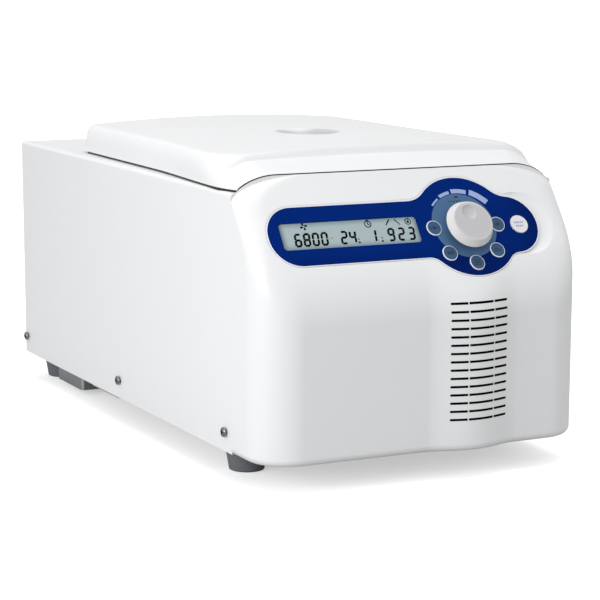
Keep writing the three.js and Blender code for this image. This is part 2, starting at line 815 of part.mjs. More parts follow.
const slotRow = (row) => {
  const z = foldZ - slotTopDrop - row * slotPitch;
  return block(
    [slotX - slotWidth / 2, slotX + slotWidth / 2],
    [frontY - columnProud - overrun, frontY + housingWall + overrun],
    [z - slotHeight / 2, z + slotHeight / 2],
  );
};
const slotCuts = Array.from({ length: slotRows }, (unused, row) => slotRow(row));
const slotFootZ = foldZ - slotTopDrop - (slotRows - 1) * slotPitch;
const slotRibs = ribShares.map((share) => {
  const x = slotX - slotWidth / 2 + share * slotWidth;
  const face = frontY - columnBulge(x) + ribSetback;
  return block(
    [x - ribWidth / 2, x + ribWidth / 2],
    [face, face + housingWall],
    [slotFootZ - slotPitch / 2, foldZ - slotTopDrop + slotPitch / 2],
  );
});

const cavityTopZ = deckBottomZ - fitGap;
const housingShell = cut(
  housingBody(0, housingTopZ, seamY),
  housingBody(housingWall, cavityTopZ, seamY + overrun),
  ...slotCuts,
  onPanel(filmPocket),
  onPanel(extruded(screenHole(fitGap), throughWall, alongZ, 3)),
  onPanel(at(rod(bushRadius + slideGap, throughWall, 16), knobCentre)),
  ...[...keys, startKey].map((place) => onPanel(at(rod(stemRadius + slideGap, throughWall, 8), place))),
);
const bosses = bossPlaces.map((place) =>
  onPanel(at(rod(bossRadius, [fitGap - boardDepth, -housingWall / 2 - pocketDepth / 2], 8), place)),
);
add("front_housing", join(housingShell, ...bosses, ...slotRibs), "whitePlastic");

// Control film, display and keys

const filmTop = fitGap - pocketDepth + filmThick;
const filmShape = new THREE.Shape(filmOutline(0));
filmShape.holes.push(screenHole(0));
const filmPlate = cut(
  extruded(filmShape, [fitGap - pocketDepth, filmTop], alongZ, 3),
  at(rod(bushRadius + slideGap, throughWall, 16), knobCentre),
  ...keys.map((place) => at(rod(keyRadius + keyClearance, throughWall, 14), place)),
  at(rod(startKeyRadius + keyClearance, throughWall, 18), startKey),
);
add("control_film", filmPlate, "blueFilm", panel);

const lensBottom = -2.8;
const moduleMargin = 2; // display to the edges of its module
add("display_lens", extruded(screenHole(-fitGap), [lensBottom, filmTop], alongZ, 3), "clear", panel);
add(
  "display_module",
  block(
    [screenX[0] - moduleMargin, screenX[1] + moduleMargin],
    [screenY[0] - moduleMargin, screenY[1] + moduleMargin],
    [fitGap - boardDepth, -housingWall - sheet],
  ),
  "display",
  panel,
);

const keyBody = (radius) => {
  const cap = turned([
    [0, keyTravel - pocketDepth + fitGap],
    [radius, keyTravel - pocketDepth + fitGap],
    [radius, keyProud - keyEdge],
    [radius - keyEdge, keyProud],
    [0, keyProud],
  ], 14);
  return join(cap, rod(stemRadius, [keyTravel + stemClear - boardDepth + sheet, 0], 8));
};
keys.forEach((place, i) => {
  add(`ring_key_${i + 1}`, keyBody(keyRadius), "slateKey", panel).position.set(...place, 0);
});
add("start_stop_key", keyBody(startKeyRadius), "whiteKey", panel).position.set(...startKey, 0);

const knobRadius = 19.5; // at its widest
const knobFoot = 13.5; // over the film
const knobTop = 16.4;
const knobHeight = 12.3;
const knobWidest = 6.4; // height of the widest ring
const knobEdge = 0.8;
const knobFloat = 0.5;
const shaftRadius = 3;
const shaftLength = 8.5;
const thumbPlace = [-1, 7.5];
const thumbRadius = 6.2;
const thumbDepth = 1.6;
const thumbShares = [[0.55, 0.88], [0.85, 0.5]]; // of its radius and its depth

const knobBody = turned([
  [0, shaftLength + fitGap],
  [shaftRadius + fitGap, shaftLength + fitGap],
  [shaftRadius + fitGap, knobFloat],
  [knobFoot, knobFloat],
  [knobRadius, knobWidest - knobEdge],
  [knobRadius, knobWidest],
  [knobTop, knobHeight - knobEdge],
  [knobTop - knobEdge, knobHeight],
  [0, knobHeight],
], 24);
const thumbBowl = turned([
  [0, knobHeight - thumbDepth],
  ...thumbShares.map(([out, down]) => [thumbRadius * out, knobHeight - thumbDepth * down]),
  [thumbRadius, knobHeight],
  [thumbRadius, knobHeight + overrun],
  [0, knobHeight + overrun],
], 16);
add("dial_knob", cut(knobBody, at(thumbBowl, thumbPlace)), "lightGrey", panel).position.set(...knobCentre, 0);

const encoderHalf = 7;
const encoderTop = -housingWall - sheet;
const encoder = join(
  block([-encoderHalf, encoderHalf], [-encoderHalf, encoderHalf], [fitGap - boardDepth, encoderTop]),
  rod(bushRadius, [encoderTop - sheet, filmTop], 16),
  rod(shaftRadius, [encoderTop, shaftLength], 12),
);
add("dial_encoder", encoder, "zinc", panel).position.set(...knobCentre, 0);

const switchHalf = 3;
const boardThick = 1.6;
const chipHeight = 2.4;
const chipSizes = [[14, 14], [9, 6], [8, 5], [22, 5]];
const chipShares = [[0.12, 0.18], [0.3, 0.15], [0.43, 0.85], [0.24, 0.91]]; // across and up the board

const boardBack = -boardDepth - boardThick;
const boardMiddle = -boardDepth - boardThick / 2;
const keySwitches = [...keys, startKey].map(([x, y]) =>
  block([x - switchHalf, x + switchHalf], [y - switchHalf, y + switchHalf], [boardMiddle, sheet - boardDepth]),
);
const chips = chipShares.map(([across, up], i) => {
  const [width, height] = chipSizes[i];
  const x = THREE.MathUtils.lerp(...boardX, across);
  const y = THREE.MathUtils.lerp(...boardY, up);
  return block(
    [x - width / 2, x + width / 2],
    [y - height / 2, y + height / 2],
    [boardBack - chipHeight, boardMiddle],
  );
});
const bareBoard = block(boardX, boardY, [boardBack, -boardDepth]);
add("control_board", join(bareBoard, ...keySwitches, ...chips), "board", panel);

// Foam air filter behind the vent column

const filterThick = 4;
const filterMargin = 4;
add(
  "intake_filter",
  block(
    [columnX - columnHalf + filterMargin, columnX + columnHalf - filterMargin],
    [frontY + housingWall + fitGap, frontY + housingWall + fitGap + filterThick],
    [slotFootZ - filterMargin, foldZ - slotTopDrop + filterMargin],
  ),
  "foam",
);

// Chamber deck with the lock slot

const lockX = 11;
const lockSlot = [16.5, 25.5]; // parting line to the slot's front and rear edges
const deckLedge = 12; // cover's opening to the deck's rear edge
const deckFrontY = seamY + fitGap;
const deckRearY = deckFrontY + coverOpeningLength + deckLedge;
const chamber = (solid) => moved(solid, 0, chamberY, 0);

const flangeSeatZ = deckTopZ - flangeThick - fitGap;
const lockSlotY = lockSlot.map((back) => seamY + back);
add(
  "chamber_deck",
  cut(
    block([-deckHalf, deckHalf], [deckFrontY, deckRearY], [deckBottomZ, deckTopZ]),
    chamber(rod(bowlOuter + fitGap, [deckBottomZ - overrun, deckTopZ], roundSides)),
    chamber(rod(flangeRadius + fitGap, [flangeSeatZ, deckTopZ + overrun], roundSides)),
    block([-lockX, lockX], lockSlotY, [deckBottomZ - overrun, deckTopZ + overrun]),
  ),
  "greyPlastic",
);

const bowlBend = bowlCorner * bowlBendShare;
add(
  "rotor_bowl",
  chamber(
    turnedRing([
      [bowlHole, bowlFloorZ - bowlWall],
      [bowlOuter - bowlCorner, bowlFloorZ - bowlWall],
      [bowlOuter - bowlBend, bowlFloorZ - bowlWall + bowlBend],
      [bowlOuter, bowlFloorZ - bowlWall + bowlCorner],
      [bowlOuter, deckTopZ - flangeThick],
      [flangeRadius, deckTopZ - flangeThick],
      [flangeRadius, deckTopZ],
      [bowlRadius, deckTopZ],
      [bowlRadius, bowlFloorZ + bowlCorner],
      [bowlRadius - bowlBend, bowlFloorZ + bowlBend],
      [bowlRadius - bowlCorner, bowlFloorZ],
      [bowlHole, bowlFloorZ],
    ], roundSides),
  ),
  "steel",
);

add(
  "chamber_insulation",
  chamber(
    turnedRing([
      [bowlHole, foamBottomZ],
      [foamRadius, foamBottomZ],
      [foamRadius, deckBottomZ - fitGap],
      [bowlOuter + fitGap, deckBottomZ - fitGap],
      [bowlOuter + fitGap, bowlFloorZ - bowlWall + bowlCorner],
      [bowlOuter + fitGap - bowlBend, bowlFloorZ - bowlWall - fitGap + bowlBend],
      [bowlOuter - bowlCorner, bowlFloorZ - bowlWall - fitGap],
      [bowlHole, bowlFloorZ - bowlWall - fitGap],
    ], roundSides),
  ),
  "insulation",
);

const discDrop = 0.1; // how far the liner's disc reaches below the lid
const linerBottomZ = lidBottomZ - discDrop;
const gasketTopZ = linerBottomZ - fitGap;
add(
  "chamber_gasket",
  chamber(
    turnedRing([
      [gasketRadius - gasketWidth / 2, deckTopZ + fitGap],
      [gasketRadius + gasketWidth / 2, deckTopZ + fitGap],
      [gasketRadius + gasketWidth / 4, gasketTopZ],
      [gasketRadius - gasketWidth / 4, gasketTopZ],
    ], roundSides),
  ),
  "rubber",
);

// Drive: motor on a plate with rubber dampers, shaft, rotor and clamp nut

const motorRadius = 45;
const motorLift = 18; // base to the motor
const motorClear = 3; // motor to the foam
const bossClear = 2; // motor's boss in the bowl's hole
const motorBoreDepth = 16;
const motorBossTop = 5; // over the bowl floor
const driveRadius = 6;
const plateHalf = 62;
const plateThick = 4;
const plateLift = 36; // base to the plate
const damperRadius = 9;
const damperInset = 12;
const motorFlange = 54;
const flangeSeat = 4;

const motorBottomZ = baseZ + motorLift;
const motorTopZ = foamBottomZ - motorClear;
const motorBoss = bowlHole - bossClear;
const plateZ = baseZ + plateLift;
const bossTopZ = bowlFloorZ + motorBossTop;
add(
  "drive_motor",
  chamber(
    turned([
      [0, motorBottomZ],
      [motorRadius, motorBottomZ],
      [motorRadius, plateZ + plateThick + fitGap],
      [motorFlange, plateZ + plateThick + fitGap],
      [motorFlange, plateZ + plateThick + fitGap + flangeSeat],
      [motorRadius, plateZ + plateThick + fitGap + flangeSeat],
      [motorRadius, motorTopZ],
      [motorBoss, motorTopZ],
      [motorBoss, bossTopZ],
      [driveRadius + fitGap, bossTopZ],
      [driveRadius + fitGap, bossTopZ - motorBoreDepth],
      [0, bossTopZ - motorBoreDepth],
    ], 20),
  ),
  "zinc",
);
add(
  "motor_plate",
  chamber(
    cut(
      extruded(
        roundRect([-plateHalf, plateHalf], [-plateHalf, plateHalf], damperInset),
        [plateZ, plateZ + plateThick],
        alongZ,
        2,
      ),
      rod(motorRadius + slideGap, [plateZ - overrun, plateZ + plateThick + overrun], 20),
    ),
  ),
  "steel",
);
const damperPlaces = [
  [-1, -1],
  [1, -1],
  [-1, 1],
  [1, 1],
];
const damperWaistShare = 0.75;
const damperBody = turned([
  [0, panelBottomZ],
  [damperRadius, panelBottomZ],
  [damperRadius * damperWaistShare, (panelBottomZ + plateZ) / 2],
  [damperRadius, plateZ - fitGap],
  [0, plateZ - fitGap],
], 10);
const damperReach = plateHalf - damperInset;
const matHalf = damperReach + damperRadius;
const matThick = 3;
const matHole = 40;
add(
  "motor_damper",
  chamber(
    join(
      cut(
        extruded(
          roundRect([-matHalf, matHalf], [-matHalf, matHalf], damperRadius),
          [panelBottomZ, panelBottomZ + matThick],
          alongZ,
          2,
        ),
        rod(matHole, [baseZ, plateZ], 16),
      ),
      ...damperPlaces.map(([sx, sy]) => moved(damperBody, sx * damperReach, sy * damperReach, 0)),
    ),
  ),
  "darkRubber",
);

const rotorClearance = 9; // rotor to the bowl
const rotorHeight = 40;
const rotorLift = 20; // bowl floor to the rotor's underside
const rotorHub = 17;
const hubHeight = 26;
const rimWidth = 14;
const coneDrop = 28;
const rotorEdge = 6;
const boreCount = 12;
const boreRadius = 5.8;
const boreDepth = 24;
const boreLean = Math.PI / 4;
const coneShare = 0.46; // place of the bore mouths down the cone

const rotorRadius = bowlRadius - rotorClearance;
const rotorZ = bowlFloorZ + rotorLift;
const rimZ = rotorZ + rotorHeight;
const coneTopR = rotorRadius - rimWidth;
const mouthR = coneTopR - coneDrop * coneShare;
const mouthZ = rimZ - coneDrop * coneShare;
const rotorBlank = turnedRing([
  [driveRadius + fitGap, rotorZ],
  [rotorHub + rotorEdge, rotorZ],
  [rotorRadius - rotorEdge, rotorZ],
  [rotorRadius, rotorZ + rotorEdge],
  [rotorRadius, rimZ],
  [coneTopR, rimZ],
  [coneTopR - coneDrop, rimZ - coneDrop],
  [rotorHub, rimZ - coneDrop],
  [rotorHub, rotorZ + hubHeight],
  [driveRadius + fitGap, rotorZ + hubHeight],
], roundSides);
const boreTool = Array.from({ length: boreCount }, (unused, i) => {
  const geometry = new THREE.CylinderGeometry(boreRadius, boreRadius, boreDepth + overrun, 9);
  geometry.translate(0, (overrun - boreDepth) / 2, 0);
  geometry.rotateX(Math.PI / 2);
  geometry.rotateY(-boreLean);
  geometry.translate(mouthR, 0, mouthZ);
  geometry.rotateZ((2 * Math.PI * (i + 0.5)) / boreCount);
  return toSolid(geometry);
});

const drive = new THREE.Group();
drive.position.set(0, chamberY, 0);
root.add(drive);
add("rotor", cut(rotorBlank, ...boreTool), "aluminium", drive);

const shaftProud = 12; // over the hub
const shaftEdge = 1;
const shaftTopZ = rotorZ + hubHeight + shaftProud;
add(
  "drive_shaft",
  turned([
    [0, bossTopZ - motorBoreDepth + fitGap],
    [driveRadius, bossTopZ - motorBoreDepth + fitGap],
    [driveRadius, shaftTopZ - shaftEdge],
    [driveRadius - shaftEdge, shaftTopZ],
    [0, shaftTopZ],
  ], 24),
  "steel",
  drive,
);
const nutRadius = 15;
const nutHeight = 16;
const nutEdge = 2;
const nutBase = 4; // round collar below the grip grooves
const nutLobes = 6;
const gripRadius = 4;
const gripReach = 17.2; // axis of the nut to the axis of a groove
const nutZ = rotorZ + hubHeight + fitGap;
const nutGrooves = Array.from({ length: nutLobes }, (unused, i) => {
  const angle = (2 * Math.PI * i) / nutLobes;
  const groove = rod(gripRadius, [nutZ + nutBase, nutZ + nutHeight + overrun], 8);
  return moved(groove, gripReach * Math.cos(angle), gripReach * Math.sin(angle), 0);
});
const nutBlank = turnedRing([
  [driveRadius + fitGap, nutZ],
  [nutRadius, nutZ],
  [nutRadius, nutZ + nutHeight - nutEdge],
  [nutRadius - nutEdge, nutZ + nutHeight],
  [driveRadius + fitGap, nutZ + nutHeight],
], 24);
add("rotor_nut", cut(nutBlank, ...nutGrooves), "blackPlastic", drive);

// Lid: shell with a sight dish, liner, window and lock hook

const lid = new THREE.Group();
root.add(lid);

const dishHalfX = 23;
const dishHalfY = 29;
const dishDepth = 6.5;
const dishFloorX = 18;
const dishFloorY = 21;
const dishFlankX = 2; // rim to the foot of its rounded edge
const dishFlankY = 2.5;
const dishFlankDrop = 1.8;
const dishRimDrop = 0.4;
const windowRadius = 15.5;
const windowThick = 1.6;
const sightRadius = 13;

const dishSides = 24;
const dishRing = (halfX, halfY, z, grow) =>
  Array.from({ length: dishSides }, (unused, i) => {
    const angle = (2 * Math.PI * i) / dishSides;
    return new THREE.Vector3((halfX + grow) * Math.cos(angle), chamberY + (halfY + grow) * Math.sin(angle), z);
  });
const lidTopZ = creaseZ + lidCrown;
const dishFloorZ = lidTopZ - dishDepth;
const dish = (grow) =>
  loft([
    dishRing(dishFloorX, dishFloorY, dishFloorZ - grow, grow),
    dishRing(dishHalfX - dishFlankX, dishHalfY - dishFlankY, lidTopZ - dishFlankDrop, grow),
    dishRing(dishHalfX, dishHalfY, lidTopZ - dishRimDrop, grow),
    dishRing(dishHalfX, dishHalfY, lidTopZ + overrun, grow),
  ]);

const hingeX = 68; // middle of each hinge
const hingeHalf = 15;
const knuckleHalf = 7;
const hingeBack = 4.2; // lid's rear edge to the pin
const hingeLift = 4.7; // cover to the pin
const hingeRadius = 3.3;
const pinRadius = 1.5;
const hingeY = lidRearY + hingeBack;
const hingeZ = coverTopZ + hingeLift;
const lidBossRadius = 5;
const linerThick = 3;
const linerLift = 1.5; // lid's bottom edge to the liner
const lidBossInset = 31.2; // from the side at the rear
const lidBossFront = 35.3; // lid's front to the front bosses
const lidBossRear = 42.7; // lid's rear to the rear bosses
const linerPlateZ = lidBottomZ + linerLift;
const linerTopZ = linerPlateZ + linerThick;
const lidBossX = lidRearHalf - lidBossInset;
const lidBossY = [lidFrontY + lidBossFront, lidRearY - lidBossRear];

const knuckle = ([x0, x1], radius) => holeX(radius, [x0, x1], hingeY, hingeZ, 12);
const lugs = [-1, 1].flatMap((sign) =>
  [
    [-hingeHalf, -knuckleHalf - fitGap],
    [knuckleHalf + fitGap, hingeHalf],
  ].map(([x0, x1]) => {
    const limits = [sign * hingeX + x0, sign * hingeX + x1];
    return cut(
      join(
        knuckle(limits, hingeRadius),
        block(limits, [lidRearY - lidWall, hingeY], [lidBottomZ + lidEdge, hingeZ + hingeRadius]),
      ),
      knuckle([limits[0] - overrun, limits[1] + overrun], pinRadius + fitGap),
    );
  }),
);
const lidOuter = lidBody(0, lidBottomZ);
const lidInner = lidBody(lidWall, lidBottomZ - overrun);
const lidBosses = [-1, 1].flatMap((sign) =>
  lidBossY.map((y) =>
    moved(rod(lidBossRadius, [linerTopZ + fitGap, lidTopZ], 12), sign * lidBossX, y, 0).intersect(lidOuter),
  ),
);
const windowSeatZ = dishFloorZ - windowThick / 2;
add(
  "lid_shell",
  cut(
    join(cut(lidOuter, lidInner), dish(lidWall).intersect(lidOuter), ...lidBosses, ...lugs),
    dish(0),
    chamber(rod(sightRadius, [lidBottomZ, lidTopZ], 24)),
    chamber(rod(windowRadius + fitGap, [windowSeatZ, lidTopZ], 24)),
  ),
  "whitePlastic",
  lid,
);

add(
  "sight_window",
  chamber(rod(windowRadius, [windowSeatZ + fitGap, windowSeatZ + fitGap + windowThick], 24)),
  "clear",
  lid,
);

const linerSide = 10.2; // from the side at the rear
const linerFront = 9; // lid's front to the liner
const linerRear = 10;
const sightWall = 2;

const linerX = lidRearHalf - linerSide;
const linerDisc = gasketRadius + gasketWidth;
const linerMidZ = linerPlateZ + linerThick / 2;
const linerPlate = extruded(
  roundRect([-linerX, linerX], [lidFrontY + linerFront, lidRearY - linerRear], rearCorner / 2),
  [linerPlateZ, linerTopZ],
  alongZ,
  3,
);
add(
  "lid_liner",
  cut(
    join(
      linerPlate,
      chamber(rod(linerDisc, [linerBottomZ, linerMidZ], roundSides)),
      chamber(rod(sightRadius + sightWall, [linerMidZ, dishFloorZ - lidWall - fitGap], 24)),
    ),
    chamber(rod(sightRadius, [linerBottomZ - overrun, lidTopZ], 24)),
  ),
  "lightGrey",
  lid,
);

const hookHalf = 9;
const hookThick = 3;
const hookPlate = 2;
const hookY = seamY + (lockSlot[0] + lockSlot[1]) / 2;
const boltHalfX = 4;
const boltHalfZ = 2.3;
const boltDrop = 9; // deck to the middle of the bolt
const hookEye = 1; // bolt's clearance in the hook
const hookEnd = 6; // hook below the middle of the bolt
const hookFoot = 6; // half depth of the foot on the liner

const boltZ = deckBottomZ - boltDrop;
const hookTopZ = linerPlateZ - fitGap;
add(
  "lid_hook",
  cut(
    join(
      block([-hookHalf, hookHalf], [hookY - hookThick / 2, hookY + hookThick / 2], [boltZ - hookEnd, hookTopZ]),
      block([-hookHalf, hookHalf], [hookY - hookFoot, hookY + hookFoot], [hookTopZ - hookPlate, hookTopZ]),
    ),
    block(
      [-boltHalfX - hookEye, boltHalfX + hookEye],
      [hookY - overrun, hookY + overrun],
      [boltZ - boltHalfZ - hookEye, boltZ + boltHalfZ + hookEye],
    ),
  ),
  "steel",
  lid,
);

// Lock unit with its sliding bolt, under the deck

const boltTravel = 7;
const boltLength = 15;
const boltStart = 1.5; // clear of the hook when drawn back
const lockHalf = 19;
const lockDepth = 11;
const lockHeight = 22;
const boltTipY = hookY - hookThick / 2 - boltStart;
const lockRearY = boltTipY - boltStart;
const lockTopZ = deckBottomZ - fitGap;
const boltBody = (grow, ys) =>
  block([-boltHalfX - grow, boltHalfX + grow], ys, [boltZ - boltHalfZ - grow, boltZ + boltHalfZ + grow]);
add(
  "lid_lock",
  cut(
    block([-lockHalf, lockHalf], [lockRearY - lockDepth, lockRearY], [lockTopZ - lockHeight, lockTopZ]),
    boltBody(fitGap, [lockRearY - lockDepth - overrun, lockRearY + overrun]),
  ),
  "blackPlastic",
);
add("lock_bolt", boltBody(0, [boltTipY - boltLength, boltTipY]), "steel");

// Hinges: a knuckle bracket on the cover and a pin for each

const bracketDepth = 18;
const bracketThick = 2;
for (const [side, sign] of [["left", -1], ["right", 1]]) {
  const x = sign * hingeX;
  add(
    `hinge_bracket_${side}`,
    cut(
      join(
        knuckle([x - knuckleHalf, x + knuckleHalf], hingeRadius),
        block([x - knuckleHalf, x + knuckleHalf], [hingeY, hingeY + hingeRadius], [coverTopZ + fitGap, hingeZ]),
        block(
          [x - hingeHalf, x + hingeHalf],
          [hingeY + hingeRadius - sheet, hingeY + bracketDepth],
          [coverTopZ + fitGap, coverTopZ + fitGap + bracketThick],
        ),
      ),
      knuckle([x - hingeHalf, x + hingeHalf], pinRadius + fitGap),
      block(
        [x - hingeHalf - overrun, x - knuckleHalf],
        [hingeY - overrun, hingeY + hingeRadius + slideGap],
        [coverTopZ, hingeZ + overrun],
      ),
      block(
        [x + knuckleHalf, x + hingeHalf + overrun],
        [hingeY - overrun, hingeY + hingeRadius + slideGap],
        [coverTopZ, hingeZ + overrun],
      ),
    ),
    "steel",
  );
  add(`hinge_pin_${side}`, knuckle([x - hingeHalf, x + hingeHalf], pinRadius), "chrome", lid);
}

// Refrigeration: compressor, condenser, fan and lines

const compressorSide = 70; // left side to the compressor's axis
const compressorBack = 102; // rear edge to its axis
const compressorRadius = 47;
const compressorHeight = 122;
const compressorLift = 9;
const compressorChine = 8;
const bandShares = [0.55, 0.56, 0.6, 0.61]; // heights of the seam band up the shell
const bandProud = 2.5;
const domeShares = [[0.96, 0.79], [0.8, 0.92], [0.45, 0.98]]; // dome, of the radius and the height
const compressorFoot = [52, 36.4]; // half sizes of the foot plate
const footPlateThick = 3;
const padRadius = 5;
const padInset = 8;

const compressorX = compressorSide - halfWidth;
const compressorY = rearY - compressorBack;
const compressorZ = baseZ + sheet + compressorLift;
const compressorTopZ = compressorZ + compressorHeight;
const compressorShell = turned([
  [0, compressorZ],
  [compressorRadius - compressorChine, compressorZ],
  [compressorRadius, compressorZ + compressorChine],
  ...bandShares.map((share, i) => [
    compressorRadius + (i === 1 || i === 2 ? bandProud : 0),
    compressorZ + compressorHeight * share,
  ]),
  ...domeShares.map(([out, up]) => [compressorRadius * out, compressorZ + compressorHeight * up]),
  [0, compressorTopZ],
], 18);
const compressorPlate = extruded(
  roundRect([-compressorFoot[0], compressorFoot[0]], [-compressorFoot[1], compressorFoot[1]], padInset),
  [compressorZ, compressorZ + footPlateThick],
  alongZ,
  2,
);
const compressorPads = damperPlaces.map(([sx, sy]) =>
  moved(
    rod(padRadius, [panelBottomZ, compressorZ + footPlateThick / 2], 8),
    sx * (compressorFoot[0] - padInset),
    sy * (compressorFoot[1] - padInset),
    0,
  ),
);
const compressor = join(compressorShell, compressorPlate, ...compressorPads);
add("compressor", moved(compressor, compressorX, compressorY, 0), "blackPaint");

const fanSide = 78; // right side to the fan's axis
const fanLift = 95.5; // base to the fan's axis
const fanSize = 119;
const fanDepth = 25;
const fanBore = 56;
const fanTip = 53.5;
const fanHub = 20;
const fanBlades = 7;
const strut = 5;
const bladeChord = 20;
const bladeThick = 1.6;
const bladeRoot = 2; // blade inside the hub
const bladeTwists = [0.95, 0.55]; // radians at the hub and at the tip
const hubSetback = 1.5; // front of the frame to the hub

const fanX = halfWidth - fanSide;
const fanZ = baseZ + fanLift;
const fanRearY = panelFrontY - fitGap;
const fanFrontY = fanRearY - fanDepth;

const fanSquare = [fanX - fanSize / 2, fanX + fanSize / 2];
const fanTall = [fanZ - fanSize / 2, fanZ + fanSize / 2];
const spider = [0, 1, 2].map((i) => {
  const arm = new THREE.BoxGeometry(fanBore + strut, strut, strut);
  arm.translate((fanBore + strut) / 2, 0, 0);
  arm.rotateZ((2 * Math.PI * i) / 3 + Math.PI / 6);
  arm.rotateX(Math.PI / 2);
  return solidAt(arm, [fanX, fanRearY - strut / 2, fanZ]);
});
add(
  "fan_frame",
  join(
    cut(
      extruded(roundRect(fanSquare, fanTall, strut), [fanFrontY, fanRearY], alongY, 2),
      rodY(fanBore, [fanFrontY - overrun, fanRearY + overrun], fanX, fanZ, 28),
    ),
    rodY(fanHub, [fanRearY - strut, fanRearY], fanX, fanZ, 20),
    ...spider,
  ),
  "blackPlastic",
);

const blade = (() => {
  const geometry = new THREE.BoxGeometry(fanTip - fanHub + bladeRoot, bladeChord, bladeThick, 2, 1, 1);
  geometry.translate((fanTip + fanHub - bladeRoot) / 2, 0, 0);
  const spots = geometry.getAttribute("position");
  for (let i = 0; i < spots.count; i += 1) {
    const spot = new THREE.Vector3().fromBufferAttribute(spots, i);
    const twist = THREE.MathUtils.lerp(...bladeTwists, (spot.x - fanHub) / (fanTip - fanHub));
    spot.applyAxisAngle(unitX, twist);
    spots.setXYZ(i, spot.x, spot.y, spot.z);
  }
  return geometry;
})();
const fanDeep = [fanFrontY + hubSetback, fanRearY - strut - fitGap];
const fanMidY = (fanDeep[0] + fanDeep[1]) / 2;
const blades = Array.from({ length: fanBlades }, (unused, i) => {
  const geometry = blade.clone();
  geometry.rotateZ((2 * Math.PI * i) / fanBlades);
  geometry.rotateX(Math.PI / 2);
  return solidAt(geometry, [fanX, fanMidY, fanZ]);
});
add("condenser_fan", join(rodY(fanHub, fanDeep, fanX, fanZ, 21), ...blades), "blackPlastic");

const condenserGap = 15; // compressor to the condenser
const condenserSide = 8; // right side to the condenser
const condenserHeight = 161.7;
const condenserDepth = 30;
const fanClear = 5; // condenser to the fan
const finCount = 19;
const finThick = 2.4;
const headerTall = 9;
const stubLength = 8;
const stubRadius = 4;
const stubRoot = 1; // stub inside the header

const condenserX = [compressorX + compressorRadius + condenserGap, halfWidth - condenserSide];
const condenserZ = [panelBottomZ, panelBottomZ + condenserHeight];
const condenserRearY = fanFrontY - fanClear;
const condenserY = [condenserRearY - condenserDepth, condenserRearY];

const finPitch = (condenserX[1] - condenserX[0] - finThick) / (finCount - 1);
const airGaps = Array.from({ length: finCount - 1 }, (unused, i) => {
  const x = condenserX[0] + finThick + i * finPitch;
  return block(
    [x, x + finPitch - finThick],
    [condenserY[0] - overrun, condenserY[1] + overrun],
    [condenserZ[0] + headerTall, condenserZ[1] - headerTall],
  );
});
const condenserMidY = (condenserY[0] + condenserY[1]) / 2;
const stubZ = condenserZ[1] - headerTall / 2;
add(
  "condenser",
  join(
    cut(block(condenserX, condenserY, condenserZ), ...airGaps),
    holeX(stubRadius, [condenserX[0] - stubLength, condenserX[0] + stubRoot], condenserMidY, stubZ, 10),
  ),
  "aluminium",
);

const lineRadius = 3;
const suctionPort = [12, -10]; // from the compressor's axis
const suctionRise = 21; // compressor's top to the level run
const suctionAngle = 2.25; // where the line meets the foam, in radians from +X
const suctionBend = 9;
const suctionLead = [9, 26]; // last bend, from the end at the foam
const suctionEnd = 2; // end of the line, behind the foam's edge
const foamRest = 0.6; // line to the foam
const dischargePort = [22, 18];
const dischargeRise = 16; // condenser's stub to the top of the line
const dischargeTurn = 14; // end of the stub to the line's drop
const dischargeBend = 6;

const point = (x, y, z) => new THREE.Vector3(x, y, z);
const suctionReach = foamRadius + foamRest;
const suctionX = suctionReach * Math.cos(suctionAngle);
const suctionY = chamberY + suctionReach * Math.sin(suctionAngle);
const suctionZ = compressorTopZ + suctionRise;
add(
  "suction_line",
  piped(
    [
      point(compressorX + suctionPort[0], compressorY + suctionPort[1], compressorTopZ + fitGap),
      point(compressorX + suctionPort[0], compressorY + suctionPort[1], suctionZ),
      point(suctionX + suctionLead[0], suctionY + suctionLead[1], suctionZ),
      point(suctionX, suctionY + suctionEnd, suctionZ),
    ],
    lineRadius,
    suctionBend,
  ),
  "copper",
);
const stubEndX = condenserX[0] - stubLength - fitGap;
const dischargeX = condenserX[0] - stubLength - dischargeTurn;
const dischargeY = compressorY + dischargePort[1];
const dischargeTopZ = stubZ + dischargeRise;
add(
  "discharge_line",
  piped(
    [
      point(compressorX + dischargePort[0], dischargeY, compressorTopZ),
      point(compressorX + dischargePort[0], dischargeY, dischargeTopZ),
      point(dischargeX, dischargeY, dischargeTopZ),
      point(dischargeX, condenserMidY, stubZ),
      point(stubEndX, condenserMidY, stubZ),
    ],
    lineRadius,
    dischargeBend,
  ),
  "copper",
);

// Drive electronics on the base pan, right of the compressor

const powerGap = 26; // condenser's left edge to the board's
const powerSide = 12; // right side to the board
const powerFront = 12.9; // board to the condenser in front of it
const powerLength = 100;
const powerLift = 14;
const postRadius = 3;
const postInset = 6;
const capSizes = [[11, 32], [11, 32], [8, 20]]; // radius and height
const capShares = [[0.16, 0.2], [0.4, 0.2], [0.855, 0.26]]; // across and along the board
const coilSize = [44, 38, 30];
const coilShares = [0.31, 0.69];
const sinkSize = [32, 46, 36];
const sinkShares = [0.76, 0.69];
const sinkFins = 6;
const sinkFoot = 6;
const sinkFinThick = 2;

